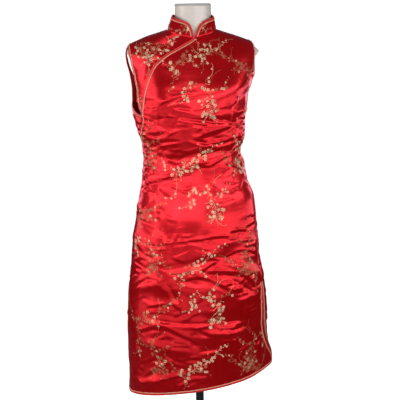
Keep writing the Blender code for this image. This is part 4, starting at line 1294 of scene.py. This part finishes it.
FRONT_LAYOUT = (column(3, HANGING_SPRIG, 0.030, 1.236, 0.302, 1, 1.0, 0.10)
                + column(4, CLIMBING_SPRIG, -0.020, 1.352, 0.298, 1, 1.0, 0.15)
                + column(3, HANGING_SPRIG, -0.150, 1.085, 0.302, 1, 0.95, 0.90)
                + column(2, CLIMBING_SPRIG, -0.160, 0.905, 0.300, 1, 1.0, 0.90)
                + column(3, HANGING_SPRIG, 0.155, 1.085, 0.302, -1, 0.95, 0.92)
                + column(4, CLIMBING_SPRIG, 0.130, 1.330, 0.298, -1, 0.90, 0.92)
                + column(1, CLIMBING_SPRIG, 0.052, 1.378, 0.0, 1, 0.70, 0.20))
BACK_LAYOUT = column(4, HANGING_SPRIG, 0.020, 1.290, 0.302, -1, 1.0, 0.15)
BACK_LAYOUT += column(3, CLIMBING_SPRIG, 0.010, 1.130, 0.298, -1, 1.0, 0.20)
BACK_LAYOUT += [(CLIMBING_SPRIG, side * 0.150, 1.290 - 0.298 * k, side, 1.0, 0.90)
                for k in range(4) for side in (-1, 1)]
BACK_LAYOUT += [(HANGING_SPRIG, side * 0.165, 1.120 - 0.302 * k, side, 0.95, 0.90)
                for k in range(3) for side in (-1, 1)]
LAP_LAYOUT = [
    (CLIMBING_SPRIG, -0.095, 1.385, 1, 0.85, 0.10), (COLLAR_SPRIG, -0.118, 1.352, -1, 1.4, 0.15),
    (COLLAR_SPRIG, -0.140, 1.398, 1, 1.20, 0.30), (COLLAR_SPRIG, -0.150, 1.372, -1, 1.3, 0.10),
    (CLIMBING_SPRIG, -0.150, 1.240, -1, 0.8, 0.95),
]
COLLAR_LAYOUT = [(COLLAR_SPRIG, 0.024 + 0.0769 * k, 0.016, 1 - 2 * (k % 2), 1.15, 0.10 + 0.6 * (k % 5 > 0))
                 for k in range(6)]
print("sprigs:", sum(len(part) for part in (FRONT_LAYOUT, BACK_LAYOUT, LAP_LAYOUT, COLLAR_LAYOUT)))

# %% [markdown]
# Geometry Nodes then weave the layout onto the cloth. The tree puts a flower on every point, a fine
# cord on every twig, and moves each vertex of the flat result to the place of the cloth that has
# the same coordinates on the cut. What falls outside the panel is deleted, as scissors cut it.

# %% The tree that weaves a layout onto a panel
def weaving_tree():
    """Flat layout in, threads lying on the cloth out."""
    tree = bpy.data.node_groups.new("weave sprigs", "GeometryNodeTree")
    for name, kind in (("layout", "Geometry"), ("flower", "Object"), ("bud", "Object"),
                       ("cloth", "Object"), ("twig width", "Float"), ("lift", "Float"),
                       ("thread", "Material")):
        tree.interface.new_socket(name=name, in_out="INPUT", socket_type="NodeSocket" + kind)
    tree.interface.new_socket(name="woven", in_out="OUTPUT", socket_type="NodeSocketGeometry")
    given = tree.nodes.new("NodeGroupInput").outputs

    def add(kind, inputs=(), **settings):
        return node(tree, "GeometryNode" + kind, inputs, **settings)

    def attribute(name, kind):
        return add("InputNamedAttribute", {"Name": name}, data_type=kind).outputs["Attribute"]

    spin = node(tree, "ShaderNodeCombineXYZ", {"Z": attribute("turn", "FLOAT")}).outputs[0]
    parts = []
    for number, name in ((FLOWER, "flower"), (BUD, "bud")):
        chosen = node(tree, "FunctionNodeCompare", {2: attribute("kind", "INT"), 3: number},
                      data_type="INT", operation="EQUAL").outputs[0]
        shape = add("ObjectInfo", {"Object": given[name]}).outputs["Geometry"]
        parts.append(add("InstanceOnPoints", {
            "Points": given["layout"], "Selection": chosen, "Instance": shape, "Rotation": spin,
            "Scale": attribute("size", "FLOAT")}).outputs[0])
    lines = add("MeshToCurve", {"Mesh": given["layout"]}).outputs[0]
    lines = add("ResampleCurve", {"Curve": lines, "Length": 0.0022}, mode="LENGTH").outputs[0]
    half = maths(tree, "MULTIPLY", given["twig width"], 0.5)
    ring = add("CurvePrimitiveCircle", {"Resolution": 4, "Radius": half}).outputs["Curve"]
    parts.append(add("CurveToMesh", {"Curve": lines, "Profile Curve": ring, "Fill Caps": True}).outputs[0])
    joined = tree.nodes.new("GeometryNodeJoinGeometry")
    for part in parts:
        tree.links.new(part, joined.inputs[0])
    solid = add("RealizeInstances", {"Geometry": joined.outputs[0]}).outputs[0]
    flat = tree.nodes.new("GeometryNodeInputPosition").outputs[0]
    stored = add("StoreNamedAttribute", {"Geometry": solid, "Name": "cut", "Value": flat},
                 data_type="FLOAT2", domain="CORNER").outputs[0]
    panel = add("ObjectInfo", {"Object": given["cloth"]}).outputs["Geometry"]
    cut = attribute("cut", "FLOAT_VECTOR")
    kept = add("SampleUVSurface", {"Mesh": panel, "Value": flat, "Source UV Map": cut, "Sample UV": flat},
               data_type="FLOAT_VECTOR")
    facing = add("SampleUVSurface", {"Mesh": panel, "Source UV Map": cut, "Sample UV": flat,
                                     "Value": tree.nodes.new("GeometryNodeInputNormal").outputs[0]},
                 data_type="FLOAT_VECTOR").outputs[0]
    height = node(tree, "ShaderNodeSeparateXYZ", {0: flat}).outputs["Z"]
    height = maths(tree, "ADD", height, given["lift"])
    offset = node(tree, "ShaderNodeVectorMath", {0: facing, "Scale": height}, operation="SCALE").outputs[0]
    place = node(tree, "ShaderNodeVectorMath", {0: kept.outputs[0], 1: offset}, operation="ADD").outputs[0]
    outside = node(tree, "FunctionNodeBooleanMath", {0: kept.outputs["Is Valid"]},
                   operation="NOT").outputs[0]
    marked = add("StoreNamedAttribute", {"Geometry": stored, "Name": "outside", "Value": outside},
                 data_type="BOOLEAN", domain="POINT").outputs[0]
    moved = add("SetPosition", {"Geometry": marked, "Position": place}).outputs[0]
    outside = attribute("outside", "BOOLEAN")
    trimmed = add("DeleteGeometry", {"Geometry": moved, "Selection": outside}).outputs[0]
    settled = add("RealizeInstances", {"Geometry": trimmed}).outputs[0]
    finish = add("SetMaterial", {"Geometry": settled, "Material": given["thread"]}).outputs[0]
    tree.links.new(finish, tree.nodes.new("NodeGroupOutput").inputs[0])
    return tree

weave = weaving_tree()
socket_of = {item.name: item.identifier for item in weave.interface.items_tree if item.in_out == "INPUT"}
print("nodes in the weaving tree:", len(weave.nodes))

# %% [markdown]
# The brocade has two pattern threads: a cream gold one for the bright boughs, and a darker bronze
# one for the boughs at the sides. Metal thread is foil wound round a core, so it glints in short
# slanting steps. Modelling every turn would be far too heavy, so fine slanting bands of lighter and
# darker colour paint those glints, and the same bands give a faint bump.

# %% Gold and bronze threads
def thread_material(name, light, dark, metallic):
    """Twisted thread: fine slanting stitch lines with painted glints in their colour, lighter and darker
    where it is worn.
    """
    made, tree, shader = new_material(name, light, Metallic=metallic, Roughness=0.42, Sheen_Weight=0.1)
    place = flat_place(tree, "cut")
    # These slanting bands paint the foil's glints into the colour, and also give a faint bump.
    stitches_and_glints = bands(tree, turned(tree, place, 0.5), 420.0, 0.6)
    worn = between(tree, noise(tree, place, 140.0, 3.0, 0.6), 0.0, 1.0, 0.3, 0.7)
    feed(tree, shader, Base_Color=mixed(tree, maths(tree, "MULTIPLY", worn, stitches_and_glints), light, dark),
         Normal=bump(tree, stitches_and_glints, 0.15, 0.0002))
    return made


threads = (thread_material("cream gold thread", (1.0, 0.82, 0.54), (0.95, 0.58, 0.31), 0.0),
           thread_material("bronze rose thread", (0.62, 0.20, 0.10), (0.42, 0.08, 0.04), 0.2))
print("threads:", [thread.name for thread in threads])

# %% [markdown]
# Each panel is woven on its own, from a seed of its own. A layout is a plain mesh, with single
# points for flowers and buds and chains of edges for twigs. Its woven result is kept as a mesh, and
# not as a modifier, so that the piece stands alone.

# %% Weave the sprigs into the panels
TWIG_WIDTH, THREAD_LIFT = 0.0006, 0.00012


def weave_sprigs(name, panel, layout, seed):
    """Lay sprigs out flat and turn them into threads on a panel, one mesh for each thread."""
    random = np.random.default_rng(seed)
    flowers, twigs = ([], []), ([], [])
    for row in layout:
        lay_sprig(*row, random, flowers, twigs)
    bare = new_object("bare_cut", panel.data)
    woven = []
    for tone, thread in enumerate(threads):
        spots = np.array(flowers[tone])
        lines = twigs[tone]
        points = [(x, y, 0) for x, y in spots[:, :2]] + [(x, y, 0) for line in lines for x, y in line]
        edges, start = [], len(spots)
        for line in lines:
            edges += [(start + i, start + i + 1) for i in range(len(line) - 1)]
            start += len(line)
        mesh = bpy.data.meshes.new("layout")
        mesh.from_pydata(points, edges, [])
        rows = spots[:, 2:].tolist() + [(TWIG, 0.0, 0.0)] * (len(points) - len(spots))
        kinds, angles, sizes = zip(*rows)
        for key, sort, values in (("kind", "INT", [int(kind) for kind in kinds]),
                                  ("turn", "FLOAT", angles), ("size", "FLOAT", sizes)):
            mesh.attributes.new(key, sort, "POINT").data.foreach_set("value", values)
        plan = new_object("layout", mesh)
        modifier = plan.modifiers.new("weave", "NODES")
        modifier.node_group = weave
        for key, value in (("flower", flower), ("bud", bud), ("cloth", bare), ("twig width", TWIG_WIDTH),
                           ("lift", THREAD_LIFT), ("thread", thread)):
            modifier[socket_of[key]] = value
        graph = bpy.context.evaluated_depsgraph_get()
        mesh = bpy.data.meshes.new_from_object(plan.evaluated_get(graph), preserve_all_data_layers=True,
                                               depsgraph=graph)
        mesh.name = f"{name}_{('gold', 'bronze')[tone]}"
        piece = new_object(mesh.name, mesh)
        bpy.data.objects.remove(plan)
        mesh.shade_smooth()
        woven.append(piece)
        print(piece.name, len(spots), "flowers and buds,", len(mesh.polygons), "faces")
    bpy.data.objects.remove(bare)
    return woven


sprigs = {
    "front": weave_sprigs("sprigs_front", front, FRONT_LAYOUT, 5),
    "back": weave_sprigs("sprigs_back", back, BACK_LAYOUT, 6),
    "under_lap": weave_sprigs("sprigs_under_lap", under_lap, LAP_LAYOUT, 7),
    "collar": weave_sprigs("sprigs_collar", collar, COLLAR_LAYOUT, 8),
}
for pattern in (flower, bud):
    bpy.data.objects.remove(pattern)

# %% [markdown]
# ## Floor, light and camera
#
# The dress stands on a plain white floor that runs on past the horizon. It could be lit until it is
# white, but it would then throw too much light back at the dress. So it glows a little where the
# camera sees it, and it is a dark grey to every other ray.

# %% The floor
def camera_sees(tree, seen, unseen):
    """One shader for what the camera sees, and another for every other ray."""
    straight = node(tree, "ShaderNodeLightPath").outputs["Is Camera Ray"]
    return node(tree, "ShaderNodeMixShader", {0: straight, 1: unseen.outputs[0],
                                              2: seen.outputs[0]}).outputs[0]


floor = add_piece("floor", [(-30, -30, 0), (30, -30, 0), (30, 30, 0), (-30, 30, 0)], [(0, 1, 2, 3)], False)
floor_white = bpy.data.materials.new("white floor")
floor_white.use_nodes = True
tree = floor_white.node_tree
shader = tree.nodes["Principled BSDF"]
shader.inputs["Base Color"].default_value = (0.80, 0.80, 0.80, 1.0)
shader.inputs["Roughness"].default_value = 0.9
shader.inputs["Emission Color"].default_value = (1, 1, 1, 1)
out_from_base = node(tree, "ShaderNodeVectorMath", {0: hard_place(tree)},
                     operation="LENGTH").outputs["Value"]
feed(tree, shader, Emission_Strength=between(tree, out_from_base, 0.45, 1.0, 0.30, 0.58))
grey = node(tree, "ShaderNodeBsdfDiffuse", {"Color": (0.14, 0.14, 0.14, 1)})
feed(tree, tree.nodes["Material Output"], Surface=camera_sees(tree, shader, grey))
floor.data.materials.append(floor_white)
print("floor %.0f m wide" % floor.dimensions.x)

# %% [markdown]
# Satin shows what stands round it, so a ring of long soft strips gives it its highlights. They are
# laid in rows like bricks, brightest at chest height and weaker with each row above and below. The
# gaps between them leave deep red bands on the cloth, which one broad light would wash out. A soft
# light overhead lifts the shoulders, and the world only fills the shadows.

# %% World and lights
world = bpy.data.worlds.new("studio")
bpy.context.scene.world = world
world.use_nodes = True
tree = world.node_tree
tree.nodes.clear()
fill = node(tree, "ShaderNodeBackground", {"Color": (1, 1, 1, 1), "Strength": 0.10})
white = node(tree, "ShaderNodeBackground", {"Color": (1, 1, 1, 1), "Strength": 1.05})
node(tree, "ShaderNodeOutputWorld", {"Surface": camera_sees(tree, white, fill)})


def soft_light(name, azimuth, distance, height, aim_height, width, tall, power):
    """An area light round the dress; azimuth 0 is in front and 90 at the wearer's left."""
    turn = math.radians(azimuth)
    lamp = bpy.data.lights.new(name, "AREA")
    lamp.shape = "RECTANGLE"
    lamp.size, lamp.size_y = width, tall
    lamp.energy = power
    holder = new_object(name, lamp)
    holder.location = (distance * math.sin(turn), -distance * math.cos(turn), height)
    towards = Vector((-holder.location.x, -holder.location.y, aim_height - height))
    holder.visible_camera = False
    holder.rotation_euler = towards.to_track_quat("-Z", "Y").to_euler()


STRIP_ROWS = (
    # height, azimuths of the strips in this row, laid like bricks
    (1.75, (-75, -10)),
    (1.35, (-75, 25, 60, 180)),
    (1.05, (-145, -45, -10, 140)),
    (0.75, (-110, -75, 25, 60, 100, 180)),
    (0.45, (-75, -45, -10)),
    (0.15, (-75, -10)),
)
BRIGHTEST, BRIGHTEST_HEIGHT, FALL = 3.4, 1.30, 0.74
RING, STRIP_WIDE, STRIP_TALL, HIGHEST_AIM = 1.6, 1.1, 0.32, 1.35
for height, azimuths in STRIP_ROWS:
    for azimuth in azimuths:
        soft_light("strip", azimuth, RING, height, min(height, HIGHEST_AIM), STRIP_WIDE, STRIP_TALL,
                   BRIGHTEST * bell(height - BRIGHTEST_HEIGHT, FALL))
soft_light("overhead", azimuth=-20, distance=0.35, height=2.7, aim_height=1.2, width=0.9, tall=0.5,
           power=2.2)
print(len(bpy.data.lights), "soft lights")

# %% [markdown]
# The camera stands two and a half metres off, a little to the wearer's right and just above the top
# of the neck, and it looks down. A long lens keeps the hem and the shoulders in proportion. A camera
# that tracks a target cannot be tilted, so this one is turned by its three angles.

# %% The camera
LENS, FILM_WIDTH, STANDPOINT, SIDE_SHIFT = 81.27, 36.0, (-0.3618, -2.5747, 1.53), 0.0099
AZIMUTH, PITCH, ROLL = (math.radians(angle) for angle in (-8.0, 13.0, -0.9))
camera_data = bpy.data.cameras.new("camera")
camera_data.lens, camera_data.sensor_width = LENS, FILM_WIDTH
camera = new_object("camera", camera_data)
right = Vector((math.cos(-AZIMUTH), -math.sin(-AZIMUTH), 0))
camera.location = Vector(STANDPOINT) + right * SIDE_SHIFT
forward = Vector((math.sin(-AZIMUTH) * math.cos(PITCH), math.cos(-AZIMUTH) * math.cos(PITCH),
                     -math.sin(PITCH)))
facing = forward.to_track_quat("-Z", "Y")
camera.rotation_mode = "QUATERNION"
camera.rotation_quaternion = facing @ Matrix.Rotation(ROLL, 4, "Z").to_quaternion()
bpy.context.scene.camera = camera
bpy.context.scene.view_settings.view_transform = "Standard"
print("camera at", [round(v, 3) for v in camera.location])

# %% [markdown]
# ## Fasten the pieces to the frame
#
# Every piece rides on the one body of the row and hides the plain
# solid it stands for.

# %% Ride and replace
fastened = []


def fasten(piece, slot_name, *nodes):
    """Let a piece ride on the one body, and stand for the solids it is named with."""
    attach(piece, "root")
    if nodes:
        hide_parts(*nodes)
    fastened.append(piece.name)


fasten(front, "brocade_satin", "dress_front")
fasten(back, "brocade_satin", "dress_back")
fasten(under_lap, "brocade_satin", "dress_under_lap")
fasten(collar, "brocade_satin", "collar")
for name in tapes:
    fasten(tapes[name], "binding_satin", "binding_" + name)
    fasten(cords[name], "gold_piping", "piping_" + name)
for pieces in sprigs.values():
    for piece in pieces:
        fasten(piece, "gold_piping")
fasten(form_body, "form_shell", "dress_form")
fasten(form_cap, "form_shell")
fasten(pole, "black_metal", "stand_pole")
fasten(base, "black_metal", "stand_base")
print("fastened", len(fastened), "pieces")

# %% [markdown]
# How large each sheet of cloth was before it was hung is printed here. The size could be measured
# round the finished dress, but a panel that bends round a form is wider than it looks, so its width,
# length and area are read from its cut map. A tape was cut wide and then folded round its edge.

# %% Sheets and their flat sizes
def cut_size(piece):
    """Size and area of a panel laid flat, read from its cut map; its faces are all quads."""
    spots = np.zeros(2 * len(piece.data.loops))
    piece.data.uv_layers["cut"].data.foreach_get("uv", spots)
    x, y = np.moveaxis(spots.reshape(-1, 4, 2), -1, 0)
    area = np.abs((x * np.roll(y, 1, 1) - y * np.roll(x, 1, 1)).sum(1)).sum() / 2
    width, length = np.ptp(x), np.ptp(y)
    print("%s is cut %.3f by %.3f m, %.4f square metres" % (piece.name, width, length, area))
    return (round(width, 3), round(length, 3)), round(area, 4)


HUNG_ON = (
    # piece, its sprigs, what it hangs on
    (front, "front", ["form_body"]),
    (back, "back", ["form_body"]),
    (under_lap, "under_lap", ["form_body"]),
    (collar, "collar", ["satin_front", "satin_back"]),
)
for piece, name, under in HUNG_ON:
    flat, area = cut_size(piece)
